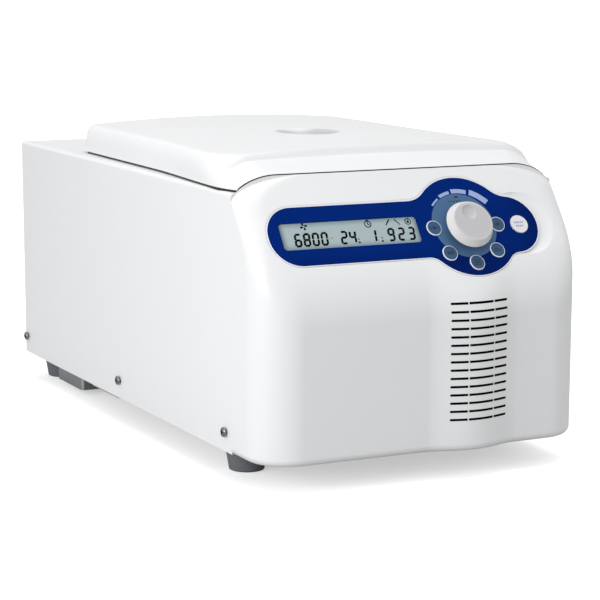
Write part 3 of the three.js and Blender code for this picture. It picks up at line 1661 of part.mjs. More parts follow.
const powerX = [condenserX[0] + powerGap, halfWidth - powerSide];
const powerRearY = condenserY[0] - powerFront;
const powerY = [powerRearY - powerLength, powerRearY];
const powerZ = baseZ + powerLift;
const onBoard = ([across, along]) => [
  THREE.MathUtils.lerp(...powerX, across),
  THREE.MathUtils.lerp(...powerY, along),
];
const standing = ([width, length, height], [x, y]) =>
  block([x - width / 2, x + width / 2], [y - length / 2, y + length / 2], [powerZ, powerZ + height]);
const posts = powerX.flatMap((x, i) =>
  powerY.map((y, j) =>
    moved(
      rod(postRadius, [panelBottomZ, powerZ + boardThick / 2], 8),
      x + (i ? -postInset : postInset),
      y + (j ? -postInset : postInset),
      0,
    ),
  ),
);
const caps = capShares.map((place, i) => {
  const [radius, height] = capSizes[i];
  return moved(rod(radius, [powerZ, powerZ + height], 12), ...onBoard(place), 0);
});
const [sinkX, sinkY] = onBoard(sinkShares);
const finRun = sinkSize[0] - sinkFinThick;
const fins = Array.from({ length: sinkFins }, (unused, i) =>
  standing([sinkFinThick, sinkSize[1], sinkSize[2]], [sinkX + finRun * (i / (sinkFins - 1) - 1 / 2), sinkY]),
);
add(
  "power_board",
  join(
    block(powerX, powerY, [powerZ, powerZ + boardThick]),
    ...posts,
    ...caps,
    ...fins,
    standing([sinkSize[0], sinkSize[1], sinkFoot], [sinkX, sinkY]),
    standing(coilSize, onBoard(coilShares)),
  ),
  "board",
);

// Rear panel with the exhaust hood, mains inlet and power switch

const inletSide = 42; // left side to the inlet and the switch
const inletLift = 36; // base to the inlet
const switchLift = 40; // inlet to the switch
const inletHalf = [13.8, 10];
const inletFlange = [24, 14];
const switchHole = [10.5, 14];
const switchFlange = [12.5, 16];
const flangeProud = 2.5;
const coolingSlots = 7;
const coolingHalf = 30;
const coolingLift = 127.5; // base to the lowest slot
const coolingPitch = 6;
const coolingGap = 2.5;

const inletX = inletSide - halfWidth;
const inletZ = baseZ + inletLift;
const switchZ = inletZ + switchLift;
const panelRearY = rearY - panelInset;
const panelThrough = [panelFrontY - overrun, panelRearY + overrun];
const pairX = ([half], grow = 0) => [inletX - half - grow, inletX + half + grow];
const pairZ = ([, half], middle, grow = 0) => [middle - half - grow, middle + half + grow];

const panelSlots = Array.from({ length: coolingSlots }, (unused, i) => {
  const z = baseZ + coolingLift + coolingPitch * i;
  return block([compressorX - coolingHalf, compressorX + coolingHalf], panelThrough, [z, z + coolingGap]);
});
add(
  "rear_panel",
  cut(
    block([-deckHalf, deckHalf], [panelFrontY, panelRearY], [panelBottomZ, deckTopZ]),
    rodY(fanBore, panelThrough, fanX, fanZ, 28),
    block(pairX(inletHalf, fitGap), panelThrough, pairZ(inletHalf, inletZ, fitGap)),
    block(pairX(switchHole, fitGap), panelThrough, pairZ(switchHole, switchZ, fitGap)),
    ...panelSlots,
  ),
  "whitePaint",
);

const hoodHalf = 64;
const hoodWall = 2.2;
const hoodRound = 9;
const hoodEdge = 3;
const hoodMargin = 7.4; // side of the hood to its louvres
const louvres = 8;
const louvrePitch = 13;
const louvreGap = 6;
const hoodRearY = rearY + exhaustProud;
const hoodFrontY = panelRearY + fitGap;
const square = (half) => roundRect([fanX - half, fanX + half], [fanZ - half, fanZ + half], hoodRound);
const louvreReach = hoodHalf - hoodMargin;
const louvreRow = (z) =>
  [[-louvreReach, -hoodWall], [hoodWall, louvreReach]].map(([x0, x1]) =>
    block(
      [fanX + x0, fanX + x1],
      [hoodRearY - hoodWall - overrun, hoodRearY + overrun],
      [z - louvreGap / 2, z + louvreGap / 2],
    ),
  );
const louvreCuts = Array.from({ length: louvres }, (unused, i) =>
  louvreRow(fanZ + (i - (louvres - 1) / 2) * louvrePitch),
).flat();
const hoodRing = (half, y) => square(half).getPoints(3).map((p) => new THREE.Vector3(p.x, y, p.y));
const hoodOuter = loft([
  hoodRing(hoodHalf, hoodFrontY),
  hoodRing(hoodHalf, hoodRearY - hoodEdge),
  hoodRing(hoodHalf - hoodEdge, hoodRearY),
]);
add(
  "exhaust_hood",
  cut(
    hoodOuter,
    extruded(square(hoodHalf - hoodWall), [hoodFrontY - overrun, hoodRearY - hoodWall], alongY, 3),
    ...louvreCuts,
  ),
  "greyPlastic",
);

const socketHalf = [12, 8];
const socketDepth = 16;
const inletDepth = 22;
const inletCorner = 4;
const flangeRoot = 1; // housing inside its flange
const bladeHalf = [1, 2];
const bladeEnd = 4; // mouth of the socket to the blades
const bladePlaces = [[-7, -1.5], [7, -1.5], [0, 3]];

const flangeY = [panelRearY + fitGap, panelRearY + fitGap + flangeProud];
const inletBody = cut(
  join(
    block(pairX(inletHalf), [panelRearY - inletDepth, panelRearY + flangeRoot], pairZ(inletHalf, inletZ)),
    extruded(roundRect(pairX(inletFlange), pairZ(inletFlange, inletZ), inletCorner), flangeY, alongY, 3),
  ),
  block(pairX(socketHalf), [panelRearY - socketDepth, panelRearY + overrun], pairZ(socketHalf, inletZ)),
);
const inletBlades = bladePlaces.map(([x, z]) =>
  block(
    [inletX + x - bladeHalf[0], inletX + x + bladeHalf[0]],
    [panelRearY - socketDepth - flangeRoot, panelRearY - bladeEnd],
    [inletZ + z - bladeHalf[1], inletZ + z + bladeHalf[1]],
  ),
);
add("mains_inlet", join(inletBody, ...inletBlades), "blackPlastic");

const rockerHalf = [8, 11.5];
const switchDepth = 18;
const switchCorner = 2;
const rockerPit = 9;
const switchBody = join(
  block(pairX(switchHole), [panelRearY - switchDepth, panelRearY + flangeRoot], pairZ(switchHole, switchZ)),
  extruded(roundRect(pairX(switchFlange), pairZ(switchFlange, switchZ), switchCorner), flangeY, alongY, 3),
);
const rockerHole = block(
  pairX(rockerHalf, slideGap),
  [panelRearY - rockerPit, panelRearY + overrun],
  pairZ(rockerHalf, switchZ, slideGap),
);
add("power_switch", cut(switchBody, rockerHole), "blackPlastic");

const rockerTilt = THREE.MathUtils.degToRad(9);
const rockerRoot = 6.5; // pivot to the back of the rocker
const rockerTip = 1.2; // pivot out to the ends of its face
const rockerMiddle = 0.9; // pivot out to the middle of its face
const rockerSwell = 2.4; // control point of each half
const rockerBow = 3;
const rockerDraft = 0.6;
const rockerEdge = 0.4;

const rockerShape = new THREE.Shape();
const [, rockerEnd] = rockerHalf;
rockerShape.moveTo(-rockerRoot, rockerEdge + rockerDraft - rockerEnd);
rockerShape.lineTo(rockerTip, rockerEdge - rockerEnd);
rockerShape.quadraticCurveTo(rockerSwell, -rockerBow, rockerMiddle, 0);
rockerShape.quadraticCurveTo(rockerSwell, rockerBow, rockerTip, rockerEnd - rockerEdge);
rockerShape.lineTo(-rockerRoot, rockerEnd - rockerEdge - rockerDraft);
rockerShape.closePath();
const rocker = add(
  "power_rocker",
  extruded(rockerShape, [-rockerHalf[0], rockerHalf[0]], alongX, 5),
  "blackPlastic",
);
rocker.position.set(inletX, panelRearY + flangeRoot, switchZ);
rocker.rotation.x = rockerTilt;

export default root;
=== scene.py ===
"""A refrigerated microcentrifuge, dressed on its CAD frame.
Shapes are worked out in millimetres, in the frame's own axes, and stored in metres."""

import json
import math

import bmesh
import bpy
from mathutils import Matrix, Vector


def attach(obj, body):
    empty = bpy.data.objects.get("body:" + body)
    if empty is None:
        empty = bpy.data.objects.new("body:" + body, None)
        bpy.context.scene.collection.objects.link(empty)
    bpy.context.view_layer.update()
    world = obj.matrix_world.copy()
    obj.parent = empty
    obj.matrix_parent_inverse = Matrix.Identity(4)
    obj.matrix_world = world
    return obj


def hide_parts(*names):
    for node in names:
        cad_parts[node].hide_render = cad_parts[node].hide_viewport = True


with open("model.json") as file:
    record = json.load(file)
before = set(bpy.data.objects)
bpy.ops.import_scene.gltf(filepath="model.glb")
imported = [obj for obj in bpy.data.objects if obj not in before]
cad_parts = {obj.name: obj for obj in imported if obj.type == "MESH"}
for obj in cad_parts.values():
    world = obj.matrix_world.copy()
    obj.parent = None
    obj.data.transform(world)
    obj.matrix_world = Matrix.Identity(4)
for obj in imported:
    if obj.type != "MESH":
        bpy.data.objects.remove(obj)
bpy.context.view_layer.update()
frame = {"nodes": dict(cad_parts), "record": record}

MM = 0.001
CUT = 4.0  # how far a cutter runs past a face
EASE = 0.3  # chamfer of a turned edge
QUARTER = math.pi / 2
SIDES = (("left", -1), ("right", 1))

# Main sizes, as in the CAD
FRONT_Y = -260.0
REAR_Y = 260.0
BASE_Z = 22.5
COVER_TOP = 220.8
HALF_WIDTH = 140.0
SHEET = 1.5
COVER_BEND = 3.0
GAP = 0.3
WALL = 3.0
CHAMBER_Y = -50.0

# Front housing
HOUSING_DEPTH = 58.5
CORNER = 33.0
BOTTOM_ROUND = 6.0
LEAN = math.radians(35)
FRONT_PROUD = 11.7
FOLD_BLEND = 11.0  # over the vent column
FLAT_BLEND = 17.0  # beside it
SHOULDER_TOP = 28.0
SHOULDER_LOW = 8.0
SHOULDER_DEEP = 14.0
ARCH_WIDTH = 36.0
ARCH_DROP = 19.0
ARCH_POWER = 1.8
LIP = 0.4
SEAM_STEP = 0.8
PARTING = 1.2
COLUMN_X = 36.0
COLUMN_HALF = 40.0
COLUMN_PROUD = 8.8
SEAM_Y = FRONT_Y + HOUSING_DEPTH
SLOPE_RUN = math.tan(LEAN)
HOUSING_TOP = COVER_TOP + FRONT_PROUD
FOLD_Z = HOUSING_TOP - (HOUSING_DEPTH - LIP) / SLOPE_RUN

# Vent slots
SLOT_ROWS = 15
SLOT_PITCH = 6.36
SLOT_TALL = 1.9
SLOT_WIDE = 51.0
SLOT_X = 39.0
SLOT_DROP = 13.0
SLOT_LEVELS = [FOLD_Z - SLOT_DROP - row * SLOT_PITCH for row in range(SLOT_ROWS)]
SHADE_BACK, SHADE_THICK, SHADE_STEPS = 0.45, 2.0, 14
SHADE_END, SHADE_GAP = 0.15, 0.02  # what the dark strips leave free in a slot
RIB_WIDE = 0.9
RIB_BACK = 0.25
RIB_OVER = 0.2
RIB_SHARES = (0.28, 0.73)

# Lid
LID_BOTTOM = COVER_TOP + 1.7
LID_FRONT = SEAM_Y + PARTING
LID_LENGTH = 348.0
LID_HALF_FRONT = 140.0
LID_HALF_WAIST = 129.2
LID_HALF_REAR = 126.2
WAIST = 185.0
LID_EDGE = 0.8
CREASE_Z = LID_BOTTOM + 22.5
CROWN = 5.05
CROWN_POWER = 2.0
SIDE_ROUND = 8.0
REAR_ROUND = 18.0
REAR_CORNER = 22.0
FACET_RUN = 23.0
FACET_RISE = 9.9
FACET_DROP = 2.6  # towards the sides, where it meets the step
STEP_RUN = 3.2
STEP_RISE = 5.9
EDGE_POWER = 2.6
LID_SEAM_Z = HOUSING_TOP + SEAM_STEP
LID_TOP = CREASE_Z + CROWN

# Control slope, in its own axes: X right, Y up the slope, Z out
PANEL_X, PANEL_UP = -0.4, 2.0
PANEL = Matrix.Translation(
    Vector((PANEL_X, FRONT_Y + PANEL_UP * math.sin(LEAN), FOLD_Z + PANEL_UP * math.cos(LEAN))) * MM
) @ Matrix.Rotation(QUARTER - LEAN, 4, "X")
FILM_TOP = -0.1
POCKET = 1.3
POCKET_BEVEL = 1.8
FILM_LOW = GAP - POCKET
PRINT_Z = (FILM_TOP - 0.05, FILM_TOP + 0.04)  # sunk in the film and proud of it
KNOB = (44.4, 45.7)
DISC, DISC_R = (43.6, 48.3), 27.4
DIAL = (44.7, 44.5)
START = (92.4, 46.4)
KEY_CIRCLE = 28.3
KEY_SPREAD = 48
KEY_R = 6.3
START_R = 7.6
KEY_GAP = 0.35
KEY_RING = 0.55  # white ring on a key's edge
KEY_PROUD = 0.5
KEY_TRAVEL = 0.7
STEM_R = 3.2
BUSH_R = 5.0
STEM_GAP = 0.5
BOARD_DEPTH = 10.4
SCREEN_X = (-112.8, 3.4)
SCREEN_Y = (36.6, 58.8)
SCREEN_ROUND = 3.0


def arc(centre, radius, start, stop, steps):
    return [
        (
            centre[0] + radius * math.cos(start + (stop - start) * i / steps),
            centre[1] + radius * math.sin(start + (stop - start) * i / steps),
        )
        for i in range(steps + 1)
    ]


KEY_FAR = math.radians(2 * KEY_SPREAD)
KEYS = arc(DIAL, KEY_CIRCLE, -QUARTER - KEY_FAR, -QUARTER + KEY_FAR, 4)


# Materials


def linear(colour):
    channels = [((colour >> shift) & 255) / 255 for shift in (16, 8, 0)]
    return [c / 12.92 if c <= 0.04045 else ((c + 0.055) / 1.055) ** 2.4 for c in channels]


class Surface:
    """A node material: a colour that drifts a little, and roughness and relief from noise."""

    RELIEF = 0.6

    def __init__(self, name, colour, rough, metal=0.0):
        self.material = bpy.data.materials.new(name)
        self.material.use_nodes = True
        self.tree = self.material.node_tree
        self.shader = self.tree.nodes["Principled BSDF"]
        self.colour = linear(colour)
        self.rough = rough
        self.place = self.node("ShaderNodeTexCoord", {})["Object"]
        self.value("Metallic", metal)
        self.value("Roughness", rough)

    def value(self, socket, amount):
        self.shader.inputs[socket].default_value = amount
        return self

    def gloss(self, amount):
        return self.value("Specular IOR Level", amount)

    def node(self, kind, inputs, **settings):
        """The outputs of a new node, whose inputs are numbers or the outputs of others."""
        node = self.tree.nodes.new(kind)
        for name, setting in settings.items():
            setattr(node, name, setting)
        for socket, item in inputs.items():
            if isinstance(item, bpy.types.NodeSocket):
                self.tree.links.new(item, node.inputs[socket])
            else:
                node.inputs[socket].default_value = item
        return node.outputs

    def feed(self, source, socket):
        self.tree.links.new(source, self.shader.inputs[socket])
        return self

    def noise(self, scale, detail, stretch):
        place = self.node("ShaderNodeMapping", {"Vector": self.place, "Scale": stretch})["Vector"]
        return self.node("ShaderNodeTexNoise", {"Vector": place, "Scale": scale, "Detail": detail})["Fac"]

    def math(self, operation, *items):
        return self.node("ShaderNodeMath", dict(enumerate(items)), operation=operation)[0]

    def mix(self, share, first, second):
        return self.node("ShaderNodeMix", {"Factor": share, 6: first, 7: second}, data_type="RGBA")[2]

    def tint(self, amount, scale, stretch=(1, 1, 1)):
        low, high = ([*(min(c * drift, 1.0) for c in self.colour), 1.0] for drift in (1 - amount, 1 + amount))
        self.painted = self.mix(self.noise(scale, 2.0, stretch), low, high)
        return self.feed(self.painted, "Base Color")

    def paint(self, share, colour):
        """Another colour where share is one."""
        self.painted = self.mix(share, self.painted, [*linear(colour), 1.0])
        return self.feed(self.painted, "Base Color")

    def fade(self, amount, start, stop, colour, share=1.0):
        """Another colour that comes in while amount goes from start to stop, in full or by a share."""
        limits = {"Value": amount, "From Min": start, "From Max": stop}
        risen = self.node("ShaderNodeMapRange", limits, interpolation_type="SMOOTHSTEP")["Result"]
        return self.paint(risen if share == 1 else self.math("MULTIPLY", risen, share), colour)

    def grain(self, scale, depth, spread=0.06, stretch=(1, 1, 1), detail=3.0):
        height = self.noise(scale, detail, stretch)
        limits = {"Value": height, "To Min": self.rough - spread, "To Max": self.rough + spread}
        self.feed(self.node("ShaderNodeMapRange", limits)["Result"], "Roughness")
        relief = {"Height": height, "Strength": self.RELIEF, "Distance": depth * MM}
        return self.feed(self.node("ShaderNodeBump", relief)["Normal"], "Normal")

    def along(self, axis):
        """The piece's own coordinate in millimetres."""
        return self.math("MULTIPLY", self.node("ShaderNodeSeparateXYZ", {0: self.place})[axis], 1 / MM)

    def distance_from(self, x, y):
        """Distance in millimetres from a point of the piece's own X and Y."""
        parts = self.node("ShaderNodeSeparateXYZ", {0: self.place})
        across, along = (self.math("SUBTRACT", parts[axis], at * MM) for axis, at in (("X", x), ("Y", y)))
        square = self.math("MULTIPLY_ADD", across, across, self.math("MULTIPLY", along, along))
        return self.math("MULTIPLY", self.math("SQRT", square), 1 / MM)

    def distance_across(self, axis, limits):
        """Distance in millimetres from the middle between two limits on one axis."""
        return self.math("ABSOLUTE", self.math("SUBTRACT", self.along(axis), sum(limits) / 2))


def moulded(name, colour, rough=0.34, relief=0.012, fine=900.0, tint=0.012):
    return Surface(name, colour, rough).tint(tint, 14.0).grain(fine, relief, 0.05)


def printed(name, colour, rough=0.45, tint=0.02):
    return moulded(name, colour, rough, 0.001, 900.0, tint)


def brushed(name, colour, rough, stretch):
    return Surface(name, colour, rough, 1.0).tint(0.06, 160.0, stretch).grain(700.0, 0.01, 0.08, stretch)


def half_span(limits):
    return (limits[1] - limits[0]) / 2


WHITE = 0xE6E7E8
white_paint = Surface("white_paint", WHITE, 0.36).tint(0.01, 9.0).grain(1500.0, 0.02, 0.05, detail=2.0)
white_plastic = moulded("white_plastic", WHITE)
lid_plastic = moulded("lid_plastic", WHITE)
lid_plastic.fade(lid_plastic.distance_from(0, CHAMBER_Y), 29.0, 24.0, 0xB2B3B8, 0.75)  # painted shade in the dish
grey_plastic = moulded("grey_plastic", 0xB4B8BB, 0.46)
liner_plastic = moulded("liner_plastic", 0xD2D3D8, 0.42)
black_plastic = moulded("black_plastic", 0x17181A, 0.42, 0.02, 1400.0, 0.1)
foot_rubber = moulded("foot_rubber", 0x6B6E72, 0.7, 0.03, 1100.0, 0.06)
dark_rubber = moulded("dark_rubber", 0x2A2B2E, 0.75, 0.03, 1100.0, 0.08)
white_key = moulded("white_key", 0xE0E1E6, 0.34, 0.004, 1800.0)
rim_white = moulded("rim_white", 0xF1F1FA, 0.3, 0.003, 1500.0)
slot_shade = moulded("slot_shade", 0x060607, 0.9, 0.05, 1600.0, 0.4).gloss(0.0)
steel = brushed("brushed_steel", 0xB4B7BB, 0.3, (1, 12, 1))
spun_steel = brushed("spun_steel", 0xBFC2C5, 0.26, (1, 1, 26))
zinc = Surface("zinc_plate", 0xA6A9AC, 0.42, 1.0).tint(0.14, 90.0).grain(260.0, 0.006, 0.1)
chrome = Surface("screw_chrome", 0x8E9195, 0.24, 1.0).tint(0.05, 300.0).grain(1200.0, 0.002, 0.05)
aluminium = Surface("blasted_aluminium", 0xB9BCC0, 0.38, 1.0).tint(0.04, 60.0).grain(2200.0, 0.01, 0.06)
copper = Surface("copper_tube", 0xC0764A, 0.28, 1.0).tint(0.16, 70.0).grain(300.0, 0.004, 0.08)
circuit = Surface("circuit_board", 0x14502F, 0.4).tint(0.25, 420.0).grain(900.0, 0.02, 0.08)
foam = Surface("filter_foam", 0x2A2C2F, 0.95).tint(0.4, 900.0).grain(1600.0, 0.25, 0.03)
insulation = Surface("rigid_foam", 0xE2D8B4, 0.85).tint(0.07, 120.0).grain(800.0, 0.12, 0.05)
black_paint = Surface("black_enamel", 0x1B1C1E, 0.3).tint(0.12, 40.0).grain(900.0, 0.01, 0.08)
ink = printed("display_ink", 0x040708, 0.6, 0.05).gloss(0.0)
faint_ink = printed("faint_ink", 0x9DAAA8, 0.5, 0.05)
lilac = printed("lilac_print", 0x93A6CE)
dark_print = printed("dark_print", 0x0B1734)
mauve = printed("key_print", 0xA3A2BC)
clear = Surface("clear_window", 0x1C2226, 0.05).value("Alpha", 0.06).tint(0.02, 30.0)
clear.grain(900.0, 0.001, 0.02)
smoky = Surface("smoky_glass", 0x6A7074, 0.3).value("Alpha", 0.8).gloss(0.2).tint(0.03, 30.0)
smoky.grain(900.0, 0.002, 0.04)

screen = Surface("display_face", 0xB4C6CA, 0.34).tint(0.05, 26.0)
# painted shade: the display face darker towards its edges, where it sits sunk under its window
screen.fade(screen.distance_across("Y", SCREEN_Y), 6.0, half_span(SCREEN_Y), 0x8AA0AA)
screen.fade(screen.distance_across("X", SCREEN_X), 53.0, half_span(SCREEN_X), 0x76898F)
screen.grain(1800.0, 0.001, 0.04)

film = Surface("blue_film", 0x002470, 0.32).gloss(0.02).tint(0.06, 30.0)
# painted shade: the film darker towards its right end and towards its bottom
film.fade(film.along("X"), 78.0, 112.0, 0x020A30, 0.45)
film.fade(film.along("Y"), 34.0, 16.0, 0x020A38, 0.4)
film.paint(film.math("LESS_THAN", film.distance_from(*DISC), DISC_R), 0x4C6C8F)
film.grain(2400.0, 0.002, 0.05)

slate_key = Surface("slate_key", 0x365577, 0.36).gloss(0.2).tint(0.04, 60.0)
slate_key.paint(slate_key.math("GREATER_THAN", slate_key.distance_from(0, 0), KEY_R - KEY_RING), 0xF0F3FA)
slate_key.grain(2400.0, 0.002, 0.05)

knob_plastic = Surface("knob_plastic", 0xBDBCBF, 0.4).tint(0.015, 60.0)
knob_plastic.fade(knob_plastic.distance_from(0, 0), 14.2, 18.0, 0xDEDDDA)  # painted light: the flank lighter and the top darker, as the lamps fall on them
knob_plastic.grain(1800.0, 0.006, 0.05)


# Mesh code


def added(name, mesh):
    obj = bpy.data.objects.new(name, mesh)
    bpy.context.scene.collection.objects.link(obj)
    return obj


def piece(name, points, faces):
    """A mesh object from points in millimetres, its faces turned outwards."""
    mesh = bpy.data.meshes.new(name)
    mesh.from_pydata([Vector(p) * MM for p in points], [], faces)
    made = bmesh.new()
    made.from_mesh(mesh)
    bmesh.ops.recalc_face_normals(made, faces=made.faces)
    made.to_mesh(mesh)
    made.free()
    return added(name, mesh)


def bands(count, low, high):
    """Faces between two loops of equal count, from the places of their first points."""
    return [(low + j, low + (j + 1) % count, high + (j + 1) % count, high + j) for j in range(count)]


def loft(name, rings):
    """A closed solid through rings of equal count, with flat ends."""
    count = len(rings[0])
    last = (len(rings) - 1) * count
    faces = [face for low in range(0, last, count) for face in bands(count, low, low + count)]
    faces += [tuple(range(count))[::-1], tuple(range(last, last + count))]
    return piece(name, [p for ring in rings for p in ring], faces)


def hoop(name, loops):
    """A closed band through loops of equal count, the last joined to the first."""
    count = len(loops[0])
    total = len(loops) * count
    faces = [face for low in range(0, total, count) for face in bands(count, low, (low + count) % total)]
    return piece(name, [p for loop in loops for p in loop], faces)


def lathe(name, profile, sides=64):
    """A solid of revolution about Z from (radius, height) points; a zero radius is a pole."""
    points = []
    starts = []
    for radius, height in profile:
        starts.append(len(points))
        turns = sides if radius > 0 else 1
        for k in range(turns):
            angle = math.tau * k / sides
            points.append((radius * math.cos(angle), radius * math.sin(angle), height))
    faces = []
    for i in range(len(profile) if profile[0][0] > 0 else len(profile) - 1):
        ends = [(starts[at], profile[at][0] > 0) for at in (i, (i + 1) % len(profile))]
        (low, low_step), (high, high_step) = ends
        for k in range(sides):
            n = (k + 1) % sides
            corners = (low + k * low_step, low + n * low_step, high + n * high_step, high + k * high_step)
            face = tuple(dict.fromkeys(corners))
            if len(face) > 2:
                faces.append(face)
    return piece(name, points, faces)


def rod(radius, low, high, sides):
    return lathe("tool", [(0, low), (radius, low), (radius, high), (0, high)], sides)


def level(outline, z):
    return [(x, y, z) for x, y in outline]


def prism(name, outline, low, high):
    return loft(name, [level(outline, low), level(outline, high)])


def block(name, xs, ys, zs):
    outline = [(xs[0], ys[0]), (xs[1], ys[0]), (xs[1], ys[1]), (xs[0], ys[1])]
    return prism(name, outline, *zs)


def round_rect(xs, ys, radius, steps=8):
    left, right, low, high = xs[0] + radius, xs[1] - radius, ys[0] + radius, ys[1] - radius
    outline = []
    for turn, centre in enumerate(((right, high), (left, high), (left, low), (right, low))):
        outline += arc(centre, radius, turn * QUARTER, (turn + 1) * QUARTER, steps)
    return outline


def disc(centre, radius, steps=40):
    return arc(centre, radius, 0, math.tau, steps)[:-1]


def quarter_turn(steps, first=0):
    """How far a quarter of a unit circle has gone across and up, step by step."""
    angles = [QUARTER * i / steps for i in range(first, steps + 1)]
    return [(math.sin(angle), 1 - math.cos(angle)) for angle in angles]


def rounded_corner(radius, floor, turn, steps):
    """The low outer corner of a turned profile."""
    return [(radius - turn * (1 - across), floor + turn * up) for across, up in quarter_turn(steps)]


def spread(start, stop, steps):
    return [start + (stop - start) * (i + 1) / steps for i in range(steps)]


def about(centre, half):
    return (centre - half, centre + half)


def moved(obj, x=0.0, y=0.0, z=0.0, turn=None):
    if turn is not None:
        obj.data.transform(turn)
    obj.data.transform(Matrix.Translation(Vector((x, y, z)) * MM))
    return obj


def joined(name, parts):
    """Several solids as the bodies of one mesh, which is what a cut needs."""
    made = bmesh.new()
    for part in parts:
        made.from_mesh(part.data)
        bpy.data.objects.remove(part)
    mesh = bpy.data.meshes.new(name)
    made.to_mesh(mesh)
    made.free()
    return added(name, mesh)


def combine(obj, tool, operation="DIFFERENCE"):
    modifier = obj.modifiers.new("combine", "BOOLEAN")
    modifier.operation = operation
    modifier.solver = "EXACT"
    modifier.object = tool
    view = bpy.context.view_layer
    view.update()
    mesh = bpy.data.meshes.new_from_object(obj.evaluated_get(view.depsgraph))
    obj.modifiers.clear()
    obj.data = mesh
    bpy.data.objects.remove(tool)
    return obj


def smoothed(obj, angle=30.0, edge=0.0):
    """Smooth shading with crisp edges, and a small round on edges where edge is given."""
    for polygon in obj.data.polygons:
        polygon.use_smooth = True
    if edge:
        bevel = obj.modifiers.new("edges", "BEVEL")
        bevel.width = edge * MM
        bevel.segments = 2
        bevel.limit_method = "ANGLE"
        bevel.angle_limit = math.radians(angle)
    else:
        obj.data.set_sharp_from_angle(angle=math.radians(angle))
    weighted = obj.modifiers.new("normals", "WEIGHTED_NORMAL")
    weighted.keep_sharp = True
    weighted.weight = 60
    return obj


def painted(obj, surface):
    obj.data.materials.clear()
    obj.data.materials.append(surface.material)


def dressed(obj, surface, body, slot, *nodes):
    painted(obj, surface)
    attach(obj, body)
    if nodes:
        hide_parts(*nodes)
    return obj


def on_panel(obj, x=0.0, y=0.0):
    """Stands a piece, made in the slope's axes, on the slope."""
    obj.matrix_world = PANEL @ Matrix.Translation(Vector((x, y, 0)) * MM)
    return obj


def panel_tool(obj):
    """Brings a cutter from the slope's axes into the frame's."""
    obj.data.transform(PANEL)
    return obj


def hole(centre, radius, low, high, steps):
    return prism("tool", disc(centre, radius, steps), low, high)


def screen_outline(grow, radius=SCREEN_ROUND):
    return round_rect(*((low - grow, high + grow) for low, high in (SCREEN_X, SCREEN_Y)), radius)


NODE_BODY = {node: body for body, group in frame["record"]["behaviour"]["bodies"].items() for node in group}
NODE_SLOT = {entry["node"]: entry["material_slot"] for entry in frame["record"]["subparts"]}


MERGE = 0.02  # points nearer than this become one
FLAT_DEGREES, CRISP_DEGREES = 1.0, 34.0


def refined(node, surface, edge):
    """A CAD node's own shape with its flat faces whole and its edges rounded."""
    mesh = frame["nodes"][node].data.copy()
    made = bmesh.new()
    made.from_mesh(mesh)
    bmesh.ops.remove_doubles(made, verts=made.verts, dist=MERGE * MM)
    flat = math.radians(FLAT_DEGREES)
    bmesh.ops.dissolve_limit(made, angle_limit=flat, verts=made.verts, edges=made.edges)
    made.to_mesh(mesh)
    made.free()
    mesh.name = node + "_shape"
    obj = smoothed(added(node + "_dressed", mesh), CRISP_DEGREES, edge)
    return dressed(obj, surface, NODE_BODY[node], NODE_SLOT[node], node)


# Front housing


def clamp(value, low=0.0, high=1.0):
    return min(max(value, low), high)


def soft_max(a, b, blend):
    h = max(blend - abs(a - b), 0) / blend
    return max(a, b) + h * h * blend / 4


def smoothstep(value, low, high):
    t = clamp((value - low) / (high - low))
    return t * t * (3 - 2 * t)


def mixed(a, b, share):
    return a + (b - a) * share


def column_bulge(x):
    t = min(abs(x - COLUMN_X) / COLUMN_HALF, 1)
    return COLUMN_PROUD * (1 - t * t) ** 2


def arch_half(z):
    t = clamp((z - HOUSING_TOP) / ARCH_DROP + 1)
    return HALF_WIDTH - ARCH_WIDTH * (1 - (1 - t**ARCH_POWER) ** (1 / ARCH_POWER))


def shoulder_reach(z):
    rise = clamp((z - FOLD_Z) / (HOUSING_TOP - FOLD_Z))
    return mixed(SHOULDER_LOW, SHOULDER_TOP, rise**1.5)


def fall_back(past, wide, deep):
    return deep * (1 - math.sqrt(1 - clamp(past / wide) ** 2))


def fold_blend(x):
    return mixed(FLAT_BLEND, FOLD_BLEND, column_bulge(x) / COLUMN_PROUD)


def slope_y(z):
    return FRONT_Y + (z - FOLD_Z) * SLOPE_RUN


# Steps of the base's round, the corners, the column, the fold, the slope and the arch
FINE_STEPS = (8, 20, 36, 44, 12, 20)
PLAIN_STEPS = (1, 6, 4, 4, 2, 1)


def housing_ring(z, inset, rounding, back_y, corner_steps, bulge_steps):
    cut = inset + rounding
    side = arch_half(z) - cut
    turn = CORNER - cut
    reach = max(shoulder_reach(z) - cut, GAP)
    deep = max(SHOULDER_DEEP - cut, GAP)
    slope = slope_y(z) + inset
    corner = []
    for _, share in quarter_turn(corner_steps):
        x = side - min(turn, side - COLUMN_X - COLUMN_HALF - SHEET) * share
        upright = FRONT_Y + cut + fall_back(x - side + turn, turn, turn)
        edge = slope + fall_back(x - side + reach, reach, deep)
        corner.append((x, min(soft_max(upright, edge, FLAT_BLEND), SEAM_Y - GAP)))
    ring = [(-side, back_y, z)]
    ring += [(-x, y, z) for x, y in corner]
    for i in range(bulge_steps + 1):
        x = COLUMN_X + COLUMN_HALF * (2 * i / bulge_steps - 1)
        upright = FRONT_Y - column_bulge(x) + cut
        ring.append((x, soft_max(upright, slope, fold_blend(x)), z))
    ring += [(x, y, z) for x, y in reversed(corner)]
    ring.append((side, back_y, z))
    return ring


